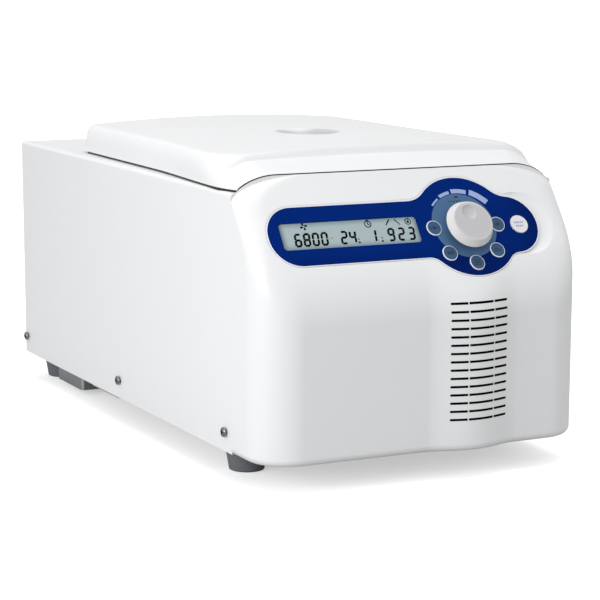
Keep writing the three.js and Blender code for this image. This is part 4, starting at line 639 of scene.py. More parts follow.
def housing_body(name, inset, top_z, back_y, steps):
    round_steps, corner_steps, bulge_steps, fold_steps, slope_steps, arch_steps = steps
    turn = BOTTOM_ROUND - inset
    levels = [(BASE_Z + inset + turn * up, turn * (1 - across)) for across, up in quarter_turn(round_steps)]
    fold_from = FOLD_Z - (COLUMN_PROUD + FLAT_BLEND) / SLOPE_RUN
    fold_to = FOLD_Z + FLAT_BLEND / SLOPE_RUN
    arch_from = min(HOUSING_TOP - ARCH_DROP, top_z - GAP)
    heights = [fold_from]
    heights += spread(fold_from, fold_to, fold_steps)
    heights += spread(fold_to, arch_from, slope_steps)
    heights += [mixed(arch_from, top_z, 1 - (1 - s) ** 1.6) for s in spread(0, 1, arch_steps)]
    levels += [(z, 0) for z in heights]
    return loft(name, [housing_ring(z, inset, turn, back_y, corner_steps, bulge_steps) for z, turn in levels])


# Film outline: a bar with a lobe round the dial and one round the start key
BAR_LEFT, BAR_LOW, BAR_HIGH, BAR_ROUND = -123.3, 22.9, 71.8, 23.5
KNOB_LOBE, KNOB_LOBE_R = (45.3, 47.6), 42.4
END_LOBE, END_LOBE_R = (84.3, 46.9), 24.4
SCOOP, SCOOP_R = (95.6, 47.4), 27.4
UPPER_FILLET, LOWER_FILLET = 22.0, 13.0
BAR_STEPS, FILLET_STEPS, LOBE_STEPS = 18, 12, 36


def bearing(start, end):
    return math.atan2(end[1] - start[1], end[0] - start[0])


def turn_arc(centre, radius, start, stop, steps, turn=1):
    sweep = ((stop - start) * turn) % math.tau
    return arc(centre, radius, start, start + turn * sweep, steps)


def meeting(first, near, second, far, side):
    """Where two circles meet, on the given side of the line between their centres."""
    gap = math.dist(first, second)
    along = (near**2 - far**2 + gap**2) / (2 * gap)
    off = side * math.sqrt(near**2 - along**2)
    ux, uy = (second[0] - first[0]) / gap, (second[1] - first[1]) / gap
    return (first[0] + ux * along - uy * off, first[1] + uy * along + ux * off)


def film_outline(grow, end=END_LOBE, end_r=END_LOBE_R):
    low, high, left = BAR_LOW - grow, BAR_HIGH + grow, BAR_LEFT - grow
    turn, big, small = BAR_ROUND + grow, KNOB_LOBE_R + grow, end_r + grow
    upper, lower = UPPER_FILLET - grow, LOWER_FILLET - grow

    def beside_bar(y, fillet):
        return (KNOB_LOBE[0] - math.sqrt((big + fillet) ** 2 - (y - KNOB_LOBE[1]) ** 2), y)

    low_left = beside_bar(low - lower, lower)
    high_left = beside_bar(high + upper, upper)
    low_right = meeting(KNOB_LOBE, big + lower, end, small + lower, -1)
    high_right = meeting(KNOB_LOBE, big + upper, end, small + upper, 1)
    points = turn_arc((left + turn, low + turn), turn, math.pi, 1.5 * math.pi, BAR_STEPS)
    # Fillets and lobes in turn, between a point over the first and one under the last
    chain = [(low_left[0], high), low_left, KNOB_LOBE, low_right, end]
    chain += [high_right, KNOB_LOBE, high_left, (high_left[0], low)]
    radii = (lower, big, lower, small, upper, big, upper)
    for n, (before, centre, after) in enumerate(zip(chain, chain[1:], chain[2:])):
        steps, way = ((FILLET_STEPS, -1), (LOBE_STEPS, 1))[n % 2]
        points += turn_arc(centre, radii[n], bearing(centre, before), bearing(centre, after), steps, way)
    points += turn_arc((left + turn, high - turn), turn, QUARTER, math.pi, BAR_STEPS)
    return points


# Pocket's edge: share of the way in, share of the bevel, height at the film and in the scoop
POCKET_EDGE = (
    (0.0, 1.0, CUT, CUT),
    (0.0, 1.0, 0.0, 0.0),
    (0.12, 0.92, -0.08, -0.25),
    (0.35, 0.8, -0.25, -1.0),
    (0.75, 0.5, -0.6, -1.7),
    (0.92, 0.34, -0.9, -1.75),
    (1.0, GAP / POCKET_BEVEL, -POCKET, -POCKET),
)
SLOT_END = SLOT_TALL / 2 - 0.05
INNER_TOP = COVER_TOP - SHEET - 2 * GAP - WALL


def pocket_tool():
    rings = []
    for share, bevel_share, z, scooped_z in POCKET_EDGE:
        end = (mixed(SCOOP[0], END_LOBE[0], share), mixed(SCOOP[1], END_LOBE[1], share))
        end_r = mixed(SCOOP_R - POCKET_BEVEL, END_LOBE_R, share)
        outline = film_outline(POCKET_BEVEL * bevel_share, end, end_r)
        rings.append([(x, y, mixed(z, scooped_z, smoothstep(x, END_LOBE[0], SCOOP[0]))) for x, y in outline])
    return panel_tool(loft("tool", rings))


def make_housing():
    shell = housing_body("front_housing_shell", 0, HOUSING_TOP, SEAM_Y, FINE_STEPS)
    combine(shell, housing_body("tool", WALL, INNER_TOP, SEAM_Y + CUT, PLAIN_STEPS))
    faces = (FRONT_Y - COLUMN_PROUD - CUT, FRONT_Y + WALL + CUT)
    slots = []
    for z in SLOT_LEVELS:
        outline = round_rect(about(SLOT_X, SLOT_WIDE / 2), about(z, SLOT_TALL / 2), SLOT_END, 5)
        slots.append(loft("tool", [[(x, y, z) for x, z in outline] for y in faces]))
    combine(shell, joined("tool", slots))
    combine(shell, pocket_tool())
    through = (-4 * WALL, CUT)
    tools = [prism("tool", screen_outline(GAP), *through), hole(KNOB, BUSH_R + STEM_GAP, *through, 32)]
    tools += [hole(place, STEM_R + STEM_GAP, *through, 20) for place in [*KEYS, START]]
    combine(shell, panel_tool(joined("tool", tools)))
    dressed(smoothed(shell), white_plastic, "cabinet", "white_plastic", "front_housing")


def slot_section(x, back, low, high):
    """A strip of the slots' height at one place of the vent column, set back from its face."""
    upright = FRONT_Y - column_bulge(x)
    near = [soft_max(upright, slope_y(z), fold_blend(x)) + back for z in (low, high)]
    far = [y + SHADE_THICK for y in near]
    return [(x, near[0], low), (x, far[0], low), (x, far[1], high), (x, near[1], high)]


def make_vents():
    """Dark strips of painted shade behind the slots, and the ribs that divide them."""
    bars = []
    ribs = []
    half = SLOT_WIDE / 2 - SHADE_END
    for z in SLOT_LEVELS:
        low, high = about(z, SLOT_TALL / 2 - SHADE_GAP)
        places = [SLOT_X + half * (2 * i / SHADE_STEPS - 1) for i in range(SHADE_STEPS + 1)]
        bars.append(loft("tool", [slot_section(x, SHADE_BACK, low, high) for x in places]))
        for share in RIB_SHARES:
            sides = about(SLOT_X + (share - 0.5) * SLOT_WIDE, RIB_WIDE / 2)
            rings = [slot_section(x, RIB_BACK, low - RIB_OVER, high + RIB_OVER) for x in sides]
            ribs.append(loft("tool", rings))
    # the dark strips are painted shade inside the slots
    dressed(joined("vent_shade", bars), slot_shade, "cabinet", "foam")
    dressed(joined("vent_ribs", ribs), white_plastic, "cabinet", "white_plastic")


# Control film, display, keys and dial

RIM_SECTION = (  # growth of the film's outline and height
    (-0.1, FILM_LOW),
    (-0.1, FILM_TOP + 0.05),
    (0.0, 0.12),
    (0.22, 0.18),
    (0.42, 0.08),
    (0.5, -0.2),
    (0.5, FILM_LOW),
)
MARK_R = 30.6
SPEED_MARKS = ((138, 122.5, 1.5), (118, 99.5, 2.6), (96, 72.5, 3.6), (68, 40, 5))  # degrees, thickness
DIAL_PRINTS = [("dial_mark", -2.2, 1.6, (72.3, 73.9), 0.6)]  # name, sides from the knob, ends, corner
DIAL_PRINTS += [(f"dial_tick_{n + 1}", 2.3 * n - 8.2, 2.3 * n - 7.1, (68.9, 70.1), 0.25) for n in range(5)]


def make_film():
    plate = prism("film_plate", film_outline(0), FILM_LOW, FILM_TOP)
    through = (-WALL, WALL)
    tools = [prism("tool", screen_outline(0), *through), hole(KNOB, BUSH_R + STEM_GAP, *through, 32)]
    tools += [hole(place, KEY_R + KEY_GAP, *through, 48) for place in KEYS]
    tools.append(hole(START, START_R + KEY_GAP, *through, 48))
    combine(plate, joined("tool", tools))
    dressed(on_panel(smoothed(plate, edge=0.15)), film, "cabinet", "blue_film", "control_film")
    rim = hoop("film_rim", [level(film_outline(grow), z) for grow, z in RIM_SECTION])
    dressed(on_panel(smoothed(rim, 50)), rim_white, "cabinet", "white_plastic")
    for n, (start, stop, thick) in enumerate(SPEED_MARKS):
        start, stop = math.radians(start), math.radians(stop)
        outline = arc(KNOB, MARK_R, start, stop, 14) + arc(KNOB, MARK_R + thick, stop, start, 14)
        mark = prism(f"speed_mark_{n + 1}", outline, *PRINT_Z)
        dressed(on_panel(mark), lilac, "cabinet", "white_key")
    for name, left, right, ys, corner in DIAL_PRINTS:
        mark = prism(name, round_rect((KNOB[0] + left, KNOB[0] + right), ys, corner), *PRINT_Z)
        dressed(on_panel(mark), dark_print, "cabinet", "black_plastic")


# Display: bars of a digit from corner to corner as shares, and the digits made of them
BAR_SHARES = {
    "a": (0, 1, 1, 1),
    "b": (1, 0.5, 1, 1),
    "c": (1, 0, 1, 0.5),
    "d": (0, 0, 1, 0),
    "e": (0, 0, 0, 0.5),
    "f": (0, 0.5, 0, 1),
    "g": (0, 0.5, 1, 0.5),
}
SEGMENTS = {"0": "abcdef", "1": "bc", "2": "abged", "3": "abgcd"}
SEGMENTS |= {"4": "fgbc", "6": "afgedc", "8": "abcdefg", "9": "abcdfg"}
DIGIT_Y, DIGIT_WIDE, DIGIT_TALL = 38.9, 6.0, 11.3
STROKE, STROKE_GAP, STROKE_BLUNT, SLANT = 1.75, 0.12, 0.45, 0.11
DIGITS = (("6800", -103.2, 7.3), ("24", -64.9, 7.3), ("1", -40.3, 7.3), ("923", -24.8, 8.75))  # left, pitch
DOTS = ((-49.6, 39.8, 0.85), (-49.45, 42.5, 0.6), (-29.9, 39.8, 0.85), (-29.75, 42.5, 0.6))
CLOCK, LOCK = ((-38.4, 54.6), 3.0, 2.2), ((-3.9, 54.8), 2.8, 2.1)  # centre and radii of a ring
LOCK_CASE = ((-4.9, -2.9), (53.6, 55.4))
# Lines as ends and thickness: the clock's hands and knob, the two ramps, the lock's shackle
CLOCK_LINES = (
    ((-38.4, 54.4), (-38.2, 56.3), 0.75),
    ((-38.6, 54.5), (-36.9, 54.2), 0.75),
    ((-39.3, 57.75), (-37.2, 57.75), 0.7),
)
RAMPS = (((-23.4, 52.7), (-19.5, 57.4), 0.9), ((-15.2, 57.4), (-11.2, 52.5), 0.8))
SHACKLE = ((-4.4, 55.3), (-3.4, 56.4), 0.45)
FAN, FAN_TIP, FAN_ROOT, FAN_BLADE, FAN_ARM = (-92.1, 55.6), 2.2, 0.7, 0.95, 0.85
DASH = ((-73.4, -69.8), (44.3, 45.3))
FACE_Z = -0.62  # display face under its window
FACE_LOW = -2.8
WINDOW_LOW = FACE_Z + 0.25
MARK_Z = (FACE_Z + 0.02, FACE_Z + 0.08)


def digit_strokes(character, x):
    """The bars of one digit as outlines with pointed ends, worked out as complex numbers."""
    half = STROKE / 2
    corner = complex(x + half, DIGIT_Y + half)
    outlines = []
    for letter in SEGMENTS[character]:
        x0, y0, x1, y1 = BAR_SHARES[letter]
        wide, tall = DIGIT_WIDE - STROKE, DIGIT_TALL - STROKE
        start, end = corner + complex(wide * x0, tall * y0), corner + complex(wide * x1, tall * y1)
        ahead = (end - start) / abs(end - start)
        start, end = start + ahead * STROKE_GAP, end - ahead * STROKE_GAP
        point, side = ahead * half * STROKE_BLUNT, -1j * ahead * half
        outline = [start, start + point + side, end - point + side]
        outline += [end, end - point - side, start + point - side]
        outlines.append([(p.real + SLANT * (p.imag - DIGIT_Y), p.imag) for p in outline])
    return outlines


def line_outline(start, end, thick):
    length = math.dist(start, end)
    ox = -(end[1] - start[1]) / length * thick / 2
    oy = (end[0] - start[0]) / length * thick / 2
    corners = ((start, 1), (start, -1), (end, -1), (end, 1))
    return [(place[0] + side * ox, place[1] + side * oy) for place, side in corners]


def ring_outlines(centre, outer, inner, parts=20):
    """A ring as a row of four-sided pieces."""
    step = math.tau / parts
    return [
        arc(centre, outer, i * step, (i + 1) * step, 1) + arc(centre, inner, (i + 1) * step, i * step, 1)
        for i in range(parts)
    ]


def make_display():
    face = prism("display_panel", screen_outline(-GAP, SCREEN_ROUND - GAP), FACE_LOW, FACE_Z)
    dressed(on_panel(smoothed(face)), screen, "cabinet", "display")
    window = prism("display_window", screen_outline(-GAP, SCREEN_ROUND - GAP), WINDOW_LOW, FILM_TOP)
    dressed(on_panel(smoothed(window)), clear, "cabinet", "display_lens", "display_lens")
    strokes = []
    for text, x, pitch in DIGITS:
        for n, character in enumerate(text):
            strokes += digit_strokes(character, x + n * pitch)
    strokes += [disc((x, y), radius, 10) for x, y, radius in DOTS]
    strokes += ring_outlines(*CLOCK) + [line_outline(*line) for line in CLOCK_LINES]
    for angle in (math.radians(15 + 90 * blade) for blade in range(4)):
        tip = (FAN[0] + FAN_TIP * math.cos(angle), FAN[1] + FAN_TIP * math.sin(angle))
        root = (FAN[0] + FAN_ROOT * math.cos(angle + 0.5), FAN[1] + FAN_ROOT * math.sin(angle + 0.5))
        strokes += [disc(tip, FAN_BLADE, 10), line_outline(root, tip, FAN_ARM)]
    strokes += [line_outline(*line) for line in RAMPS] + ring_outlines(*LOCK)
    strokes += [round_rect(*LOCK_CASE, 0.4, 3), line_outline(*SHACKLE)]
    marks = joined("display_digits", [prism("mark", outline, *MARK_Z) for outline in strokes])
    dressed(on_panel(marks), ink, "cabinet", "black_plastic")
    dash = prism("display_dash", round_rect(*DASH, 0.3, 3), *MARK_Z)
    dressed(on_panel(dash), faint_ink, "cabinet", "display")


def key_profile(radius):
    bottom = KEY_TRAVEL - POCKET + GAP
    stem_low = KEY_TRAVEL + 1 - BOARD_DEPTH + SHEET
    return [
        (0, stem_low),
        (STEM_R, stem_low),
        (STEM_R, bottom),
        (radius, bottom),
        (radius, KEY_PROUD * 0.4),
        (radius - 0.1, KEY_PROUD * 0.75),
        (radius - 0.35, KEY_PROUD * 0.95),
        (radius - 0.8, KEY_PROUD),
        (radius * 0.5, KEY_PROUD * 0.86),
        (0, KEY_PROUD * 0.8),
    ]


# Marks on the keys, each from a low left to a high right corner
KEY_SIGNS = (
    ((-4.0, -0.35, -1.9, 0.35), (-1.5, -1.1, 1.5, 1.1), (1.9, -0.35, 4.0, 0.35), (-4.0, 0.6, -3.2, 1.1)),
    ((-3.0, 0.6, 3.0, 1.2), (-2.6, -1.2, -0.4, 0.2), (0.4, -1.2, 2.6, 0.2)),
    (
        (-2.5, -2.3, 2.5, -1.7),
        (-2.5, 1.6, 2.5, 2.2),
        (-2.5, -1.7, -1.9, 1.6),
        (1.9, -1.7, 2.5, 1.6),
        (-1.1, -0.8, 1.1, 0.6),
    ),
    ((-2.3, -1.2, 2.3, -0.6), (-2.3, 0.7, 2.3, 1.3), (-2.3, -0.6, -1.7, 0.7), (1.7, -0.6, 2.3, 0.7)),
    ((-2.5, -0.35, 2.5, 0.35), (-0.35, -2.0, 0.35, 2.0), (-1.6, -1.6, -0.9, -0.9), (0.9, 0.9, 1.6, 1.6)),
)
START_SIGNS = [(x, 0.7, x + 1.25, 2.2) for x in (-4.3, -2.6, -0.9, 0.8, 2.5)]
START_SIGNS += [(x, -2.4, x + 1.25, -0.9) for x in (-3.5, -1.8, -0.1, 1.6)]


def key_print(name, signs, top_share, corner=0.0):
    bars = []
    for x0, y0, x1, y1 in signs:
        outline = round_rect((x0, x1), (y0, y1), corner or min(x1 - x0, y1 - y0) * 0.3, 2)
        bars.append(prism("bar", outline, KEY_PROUD * 0.7, KEY_PROUD * top_share))
    return joined(name, bars)


def make_keys():
    for n, place in enumerate(KEYS):
        cap = lathe(f"ring_key_cap_{n + 1}", key_profile(KEY_R), 56)
        body = f"key_{n + 1}"
        dressed(on_panel(smoothed(cap, 35), *place), slate_key, body, "slate_key", f"ring_key_{n + 1}")
        sign = key_print(f"key_sign_{n + 1}", KEY_SIGNS[n], 0.95)
        dressed(on_panel(sign, *place), dark_print, body, "black_plastic")
    sign = key_print("start_sign", START_SIGNS, 0.96, 0.2)
    dressed(on_panel(sign, *START), mauve, "start_key", "light_grey_plastic")
    start = lathe("start_stop_cap", key_profile(START_R), 64)
    dressed(on_panel(smoothed(start, 35), *START), white_key, "start_key", "white_key", "start_stop_key")


KNOB_R, KNOB_FOOT, KNOB_TOP, KNOB_TALL, KNOB_WIDEST = 19.5, 13.5, 16.4, 12.3, 6.4
KNOB_LOW, KNOB_ROUND = 0.5, 1.7
SOCKET_R, SOCKET_DEEP = 3.3, 8.8
THUMB, THUMB_R, THUMB_DEEP = (-1.0, 7.5), 6.2, 1.6


def make_knob():
    profile = [(0, SOCKET_DEEP), (SOCKET_R, SOCKET_DEEP), (SOCKET_R, KNOB_LOW), (KNOB_FOOT, KNOB_LOW)]
    profile += [
        (KNOB_R - inset, KNOB_WIDEST + rise)
        for inset, rise in ((0.35, -0.8), (0.05, -0.5), (0, -0.2), (0.1, 0.2))
    ]
    slant = math.atan2(KNOB_R - KNOB_TOP, KNOB_TALL - KNOB_WIDEST)
    centre = (KNOB_TOP - KNOB_ROUND * 0.5, KNOB_TALL - KNOB_ROUND)
    profile += [*arc(centre, KNOB_ROUND, slant, QUARTER, 8), (0, KNOB_TALL)]
    body = lathe("dial_cap", profile, 96)
    bowl = [(0, KNOB_TALL - THUMB_DEEP)]
    for across, up in quarter_turn(8, 1):
        bowl.append((THUMB_R * across, KNOB_TALL - THUMB_DEEP * (1 - up) ** 1.2))
    bowl += [(THUMB_R, KNOB_TALL + CUT), (0, KNOB_TALL + CUT)]
    combine(body, moved(lathe("tool", bowl, 48), *THUMB))
    dressed(on_panel(smoothed(body, 28), *KNOB), knob_plastic, "knob", "light_grey_plastic", "dial_knob")


# Lid


def lid_half(back):
    half = mixed(LID_HALF_FRONT, LID_HALF_WAIST, smoothstep(back, 0, WAIST))
    tail = max(back - WAIST, 0) / (LID_LENGTH - WAIST)
    corner = max(REAR_CORNER - (LID_LENGTH - back), 0)
    rounding = REAR_CORNER - math.sqrt(max(REAR_CORNER**2 - corner**2, 0))
    return half - (LID_HALF_WAIST - LID_HALF_REAR) * tail - rounding


def step_share(back):
    rise = clamp((back - FACET_RUN) / STEP_RUN)
    return mixed(rise, smoothstep(rise, 0, 1), 0.4)


def spine_z(back):
    facet = FACET_RISE * min(back / FACET_RUN, 1) ** 0.85
    step = STEP_RISE * step_share(back)
    rest = LID_TOP - LID_SEAM_Z - FACET_RISE - STEP_RISE
    return LID_SEAM_Z + facet + step + rest * smoothstep(back, FACET_RUN, WAIST)


def front_share(back):
    return 1 - smoothstep(back, 0, 3 * FACET_RUN)


def rounded_share(distance, reach, power):
    left = 1 - clamp(distance / reach)
    return (1 - left**power) ** (1 / power)


def edge_reach(back):
    return mixed(SIDE_ROUND, ARCH_WIDTH, front_share(back))


def edge_base(back):
    return mixed(LID_BOTTOM + LID_EDGE, LID_SEAM_Z - ARCH_DROP, front_share(back))


def edge_power(back):
    return mixed(EDGE_POWER, ARCH_POWER, front_share(back))


def lid_z(x, back):
    half = lid_half(back)
    floor = LID_BOTTOM + LID_EDGE
    base = edge_base(back)
    peak = spine_z(back)
    side_top = min(CREASE_Z, peak)
    out = min(abs(x) / half, 1) ** CROWN_POWER
    drop = FACET_DROP * min(back / FACET_RUN, 1) * (1 - step_share(back))
    crown = side_top + (peak - side_top) * (1 - out) - drop * out
    side = base + (crown - base) * rounded_share(half - abs(x), edge_reach(back), edge_power(back))
    return floor + max(side - floor, 0) * rounded_share(LID_LENGTH - back, REAR_ROUND, EDGE_POWER)


def corner_trim(back):
    """How far in from the side the lid's section first stands over its bottom edge."""
    base, power = edge_base(back), edge_power(back)
    rise = clamp((LID_BOTTOM + LID_EDGE + 0.1 - base) / (min(CREASE_Z, spine_z(back)) - base))
    return edge_reach(back) * (1 - (1 - rise**power) ** (1 / power))


def lid_ring(back, inset, bottom, edge_shares, middle_shares):
    trim = corner_trim(back)
    half = lid_half(back) - inset - trim
    reach = edge_reach(back) - trim
    right = [half - share * reach for share in edge_shares]
    right += [share * (half - reach) for share in middle_shares]
    y = LID_FRONT + back
    xs = right + [-x for x in reversed(right)]
    grow = (lid_half(back) - trim) / half
    ring = [(x, y, max(lid_z(x * grow, back) - inset, bottom + GAP)) for x in xs]
    return ring + [(-half, y, bottom), (half, y, bottom)]


# Where the lid's sections stand and their points, as shares of its parts
FACET_SHARES = (0, 0.03, 0.08, 0.15, 0.24, 0.35, 0.48, 0.62, 0.76, 0.9, 1)
MIDDLE_SHARES = (0.9, 0.75, 0.6, 0.45, 0.3, 0.15, 0.04)
PLAIN_FACET_SHARES = (0, 0.24, 0.5, 1)
PLAIN_WAIST_SHARES = (0.3, 0.62, 1)
PLAIN_REAR_SHARES = (1, 0.55, 0.24, 0.06, 0)
STEP_END = FACET_RUN + STEP_RUN


def lid_cover(name):
    backs = [FACET_RUN * s for s in FACET_SHARES]
    backs += spread(FACET_RUN, STEP_END, 8)
    backs += spread(STEP_END, LID_LENGTH - REAR_CORNER, 46)
    backs += [LID_LENGTH - REAR_CORNER * (1 - across) for across, _ in quarter_turn(16, 1)]
    edge_shares = [up for _, up in quarter_turn(18)]
    return loft(name, [lid_ring(back, 0, LID_BOTTOM, edge_shares, MIDDLE_SHARES) for back in backs])


def lid_hollow(inset, bottom):
    backs = [FACET_RUN * s for s in PLAIN_FACET_SHARES] + [STEP_END]
    backs += [mixed(STEP_END, WAIST, s) for s in PLAIN_WAIST_SHARES]
    backs += [LID_LENGTH - REAR_CORNER * s for s in PLAIN_REAR_SHARES]
    backs = [inset] + [b for b in backs if inset < b < LID_LENGTH - inset] + [LID_LENGTH - inset]
    return loft("tool", [lid_ring(back, inset, bottom, (0, 0.1, 0.4, 1), (0.7, 0.3)) for back in backs])


DISH_X, DISH_Y, DISH_DEEP = 23.0, 29.0, 6.05
DISH_FLOOR_X, DISH_FLOOR_Y = 18.0, 21.0
SIGHT_R, WINDOW_R, WINDOW_THICK = 13.0, 15.5, 1.6
HINGE_X, HINGE_HALF, KNUCKLE_HALF = 68.0, 15.0, 7.0
HINGE_Y = LID_FRONT + LID_LENGTH + 4.2
HINGE_Z = COVER_TOP + 4.7
HINGE_R = 3.3
PIN_R = 1.5
DISH_FLOOR = LID_TOP - DISH_DEEP
# Dark strips in the lid's gaps, painted shade where the seam reads as a shadow line
GAP_SHADE_TALL, GAP_SHADE_OUT, GAP_SHADE_IN, GAP_SHADE_WIDE = 1.9, 0.5, 0.04, 3.0
GAP_SHADE_STEPS = 40
GAP_SHADE_END, GAP_SHADE_UNDER = 0.2, 0.06  # short of the lid's corner and of its edge
SIDE_GAP_SHADE_Z = (COVER_TOP + 0.12, LID_BOTTOM - 0.02)


def dish_ring(half_x, half_y, z, steps=72):
    turns = (math.tau * i / steps for i in range(steps))
    return [(half_x * math.cos(turn), CHAMBER_Y + half_y * math.sin(turn), z) for turn in turns]


def dish(grow):
    """A soft oval hollow: a flat floor, a round foot, a flank and a rounded rim."""
    rows = [
        (DISH_FLOOR_X, DISH_FLOOR_Y, DISH_FLOOR - grow),
        (DISH_FLOOR_X + 1.2, DISH_FLOOR_Y + 1.8, DISH_FLOOR + 0.5 - grow),
        (DISH_FLOOR_X + 2.2, DISH_FLOOR_Y + 3.6, DISH_FLOOR + 1.6 - grow),
        (DISH_FLOOR_X + 3.1, DISH_FLOOR_Y + 5.4, DISH_FLOOR + 3.6 - grow),
        (DISH_X - 1.3, DISH_Y - 1.8, LID_TOP - 1.7),
        (DISH_X - 0.7, DISH_Y - 1.0, LID_TOP - 1.0),
        (DISH_X, DISH_Y, LID_TOP - 0.45),
        (DISH_X + 1.4, DISH_Y + 1.8, LID_TOP - 0.05),
        (DISH_X + 2.4, DISH_Y + 3.0, LID_TOP + CUT),
    ]
    return loft("tool", [dish_ring(x + grow, y + grow, z) for x, y, z in rows])


def rod_x(radius, xs, sides=32):
    """A rod on the hinge line."""
    return moved(rod(radius, *xs, sides), 0, HINGE_Y, HINGE_Z, Matrix.Rotation(QUARTER, 4, "Y"))


def make_gap_shades():
    """Dark strips of painted shade in the gaps: along the lid's front edge and under its sides."""
    reach = LID_HALF_FRONT - corner_trim(0) - GAP_SHADE_END
    near, far = LID_FRONT - GAP_SHADE_OUT, LID_FRONT - GAP_SHADE_IN
    rings = []
    for i in range(-GAP_SHADE_STEPS, GAP_SHADE_STEPS + 1):
        x = reach * math.sin(QUARTER * i / GAP_SHADE_STEPS)
        top = lid_z(x, 0) - GAP_SHADE_UNDER
        low = top - GAP_SHADE_TALL
        rings.append([(x, near, low), (x, far, low), (x, far, top), (x, near, top)])
    dressed(loft("front_gap_shade", rings), black_plastic, "lid", "dark_rubber")
    low, high = SIDE_GAP_SHADE_Z
    for side, sign in SIDES:
        rings = []
        for i in range(GAP_SHADE_STEPS + 1):
            back = GAP_SHADE_OUT + (LID_LENGTH - REAR_CORNER - GAP_SHADE_OUT) * i / GAP_SHADE_STEPS
            half = lid_half(back) - max(corner_trim(back), GAP_SHADE_OUT)
            fall = fall_back(half - HALF_WIDTH + COVER_BEND, COVER_BEND, COVER_BEND)
            corners = ((half, low - fall), (half, high), (half - GAP_SHADE_WIDE, high), (half - GAP_SHADE_WIDE, low))
            rings.append([(sign * x, LID_FRONT + back, z) for x, z in corners])
        dressed(loft(f"side_gap_shade_{side}", rings), black_plastic, "lid", "dark_rubber")


def add_hinges(shell):
    rear = LID_FRONT + LID_LENGTH - WALL
    for sign in (-1, 1):
        for x0, x1 in ((-HINGE_HALF, -KNUCKLE_HALF - GAP), (KNUCKLE_HALF + GAP, HINGE_HALF)):
            limits = (sign * HINGE_X + x0, sign * HINGE_X + x1)
            combine(shell, rod_x(HINGE_R, limits), "UNION")
            arm = block("tool", limits, (rear, HINGE_Y), (LID_BOTTOM + LID_EDGE, HINGE_Z + HINGE_R))
            combine(shell, arm, "UNION")
            combine(shell, rod_x(PIN_R + GAP, (limits[0] - 1, limits[1] + 1), 24))


def make_lid():
    shell = lid_cover("lid_cover")
    outer = added("tool", shell.data.copy())
    combine(shell, lid_hollow(WALL, LID_BOTTOM - CUT))
    combine(shell, combine(dish(WALL), outer, "INTERSECT"), "UNION")
    add_hinges(shell)
    combine(shell, dish(0))
    seat = DISH_FLOOR - WINDOW_THICK / 2
    combine(shell, moved(rod(SIGHT_R, LID_BOTTOM, LID_TOP, 48), 0, CHAMBER_Y))
    combine(shell, moved(rod(WINDOW_R + GAP, seat, LID_TOP, 48), 0, CHAMBER_Y))
    dressed(smoothed(shell), lid_plastic, "lid", "white_plastic", "lid_shell")
    make_gap_shades()
    low = seat + GAP
    high = low + WINDOW_THICK
    glass = [(0, low), (WINDOW_R, low), (WINDOW_R, high - EASE), (WINDOW_R - EASE, high), (0, high)]
    window = moved(lathe("sight_glass", glass, 64), 0, CHAMBER_Y)
    dressed(smoothed(window), smoky, "lid", "sight_glass", "sight_window")


# Cabinet fittings

SCREW_Z = BASE_Z + 15.5
SCREW_FRONT, SCREW_REAR = SEAM_Y + 12, REAR_Y - 6.5
SCREW_SHARES = (0, 0.483, 1)
HEAD_R, HEAD_PROUD, HEAD_EDGE, HEAD_FLAT_SHARE = 3.9, 1.8, 0.5, 0.35
CROSS_LONG, CROSS_HALF = 2.7, 0.65
SHANK_R, SHANK_LONG, SHANK_IN = 2.0, 9.0, 0.4
FOOT_X, FOOT_FRONT, FOOT_REAR = 108.0, FRONT_Y + 98, REAR_Y - 17
FOOT_R, FOOT_ROUND = 14.0, 1.4
FOOT_BORE = ((0, 9), (5.5, 9), (5.5, 0.4), (5.9, 0))
FOOT_FLANK = ((17.3, 20.2), (17.5, 21.2), (17.0, 22.0), (16.4, 22.2), (0, 22.2))


def make_screws():
    flat = HEAD_R * HEAD_FLAT_SHARE
    dome = [(0, 0), (HEAD_R, 0), (HEAD_R, HEAD_EDGE)]
    dome += [
        (flat + (HEAD_R - flat) * (1 - up), mixed(HEAD_EDGE, HEAD_PROUD, across))
        for across, up in quarter_turn(7, 1)
    ]
    dome.append((0, HEAD_PROUD))
    for side, sign in SIDES:
        turn = Matrix.Rotation(sign * QUARTER, 4, "Y")
        for n, share in enumerate(SCREW_SHARES):
            head = lathe(f"screw_head_{side}_{n + 1}", dome, 40)
            long, across = about(0, CROSS_LONG), about(0, CROSS_HALF)
            combine(head, block("tool", long, across, (HEAD_PROUD * 0.2, CUT)))
            combine(head, block("tool", across, long, (HEAD_PROUD * 0.21, CUT)))
            combine(head, rod(SHANK_R, -SHANK_LONG, SHANK_IN, 20), "UNION")
            moved(head, sign * (HALF_WIDTH + GAP), mixed(SCREW_FRONT, SCREW_REAR, share), SCREW_Z, turn)
            dressed(smoothed(head), chrome, "cabinet", "chrome", f"side_screw_{side}_{n + 1}")


def make_feet():
    profile = [*FOOT_BORE, *rounded_corner(FOOT_R, 0, FOOT_ROUND, 5), *FOOT_FLANK]
    for depth, y in (("front", FOOT_FRONT), ("rear", FOOT_REAR)):
        for side, sign in SIDES:
            foot = moved(lathe(f"rubber_foot_{depth}_{side}", profile, 56), sign * FOOT_X, y)
            dressed(smoothed(foot, 35), foot_rubber, "cabinet", "foot_rubber", f"foot_{depth}_{side}")


# Chamber and rotor

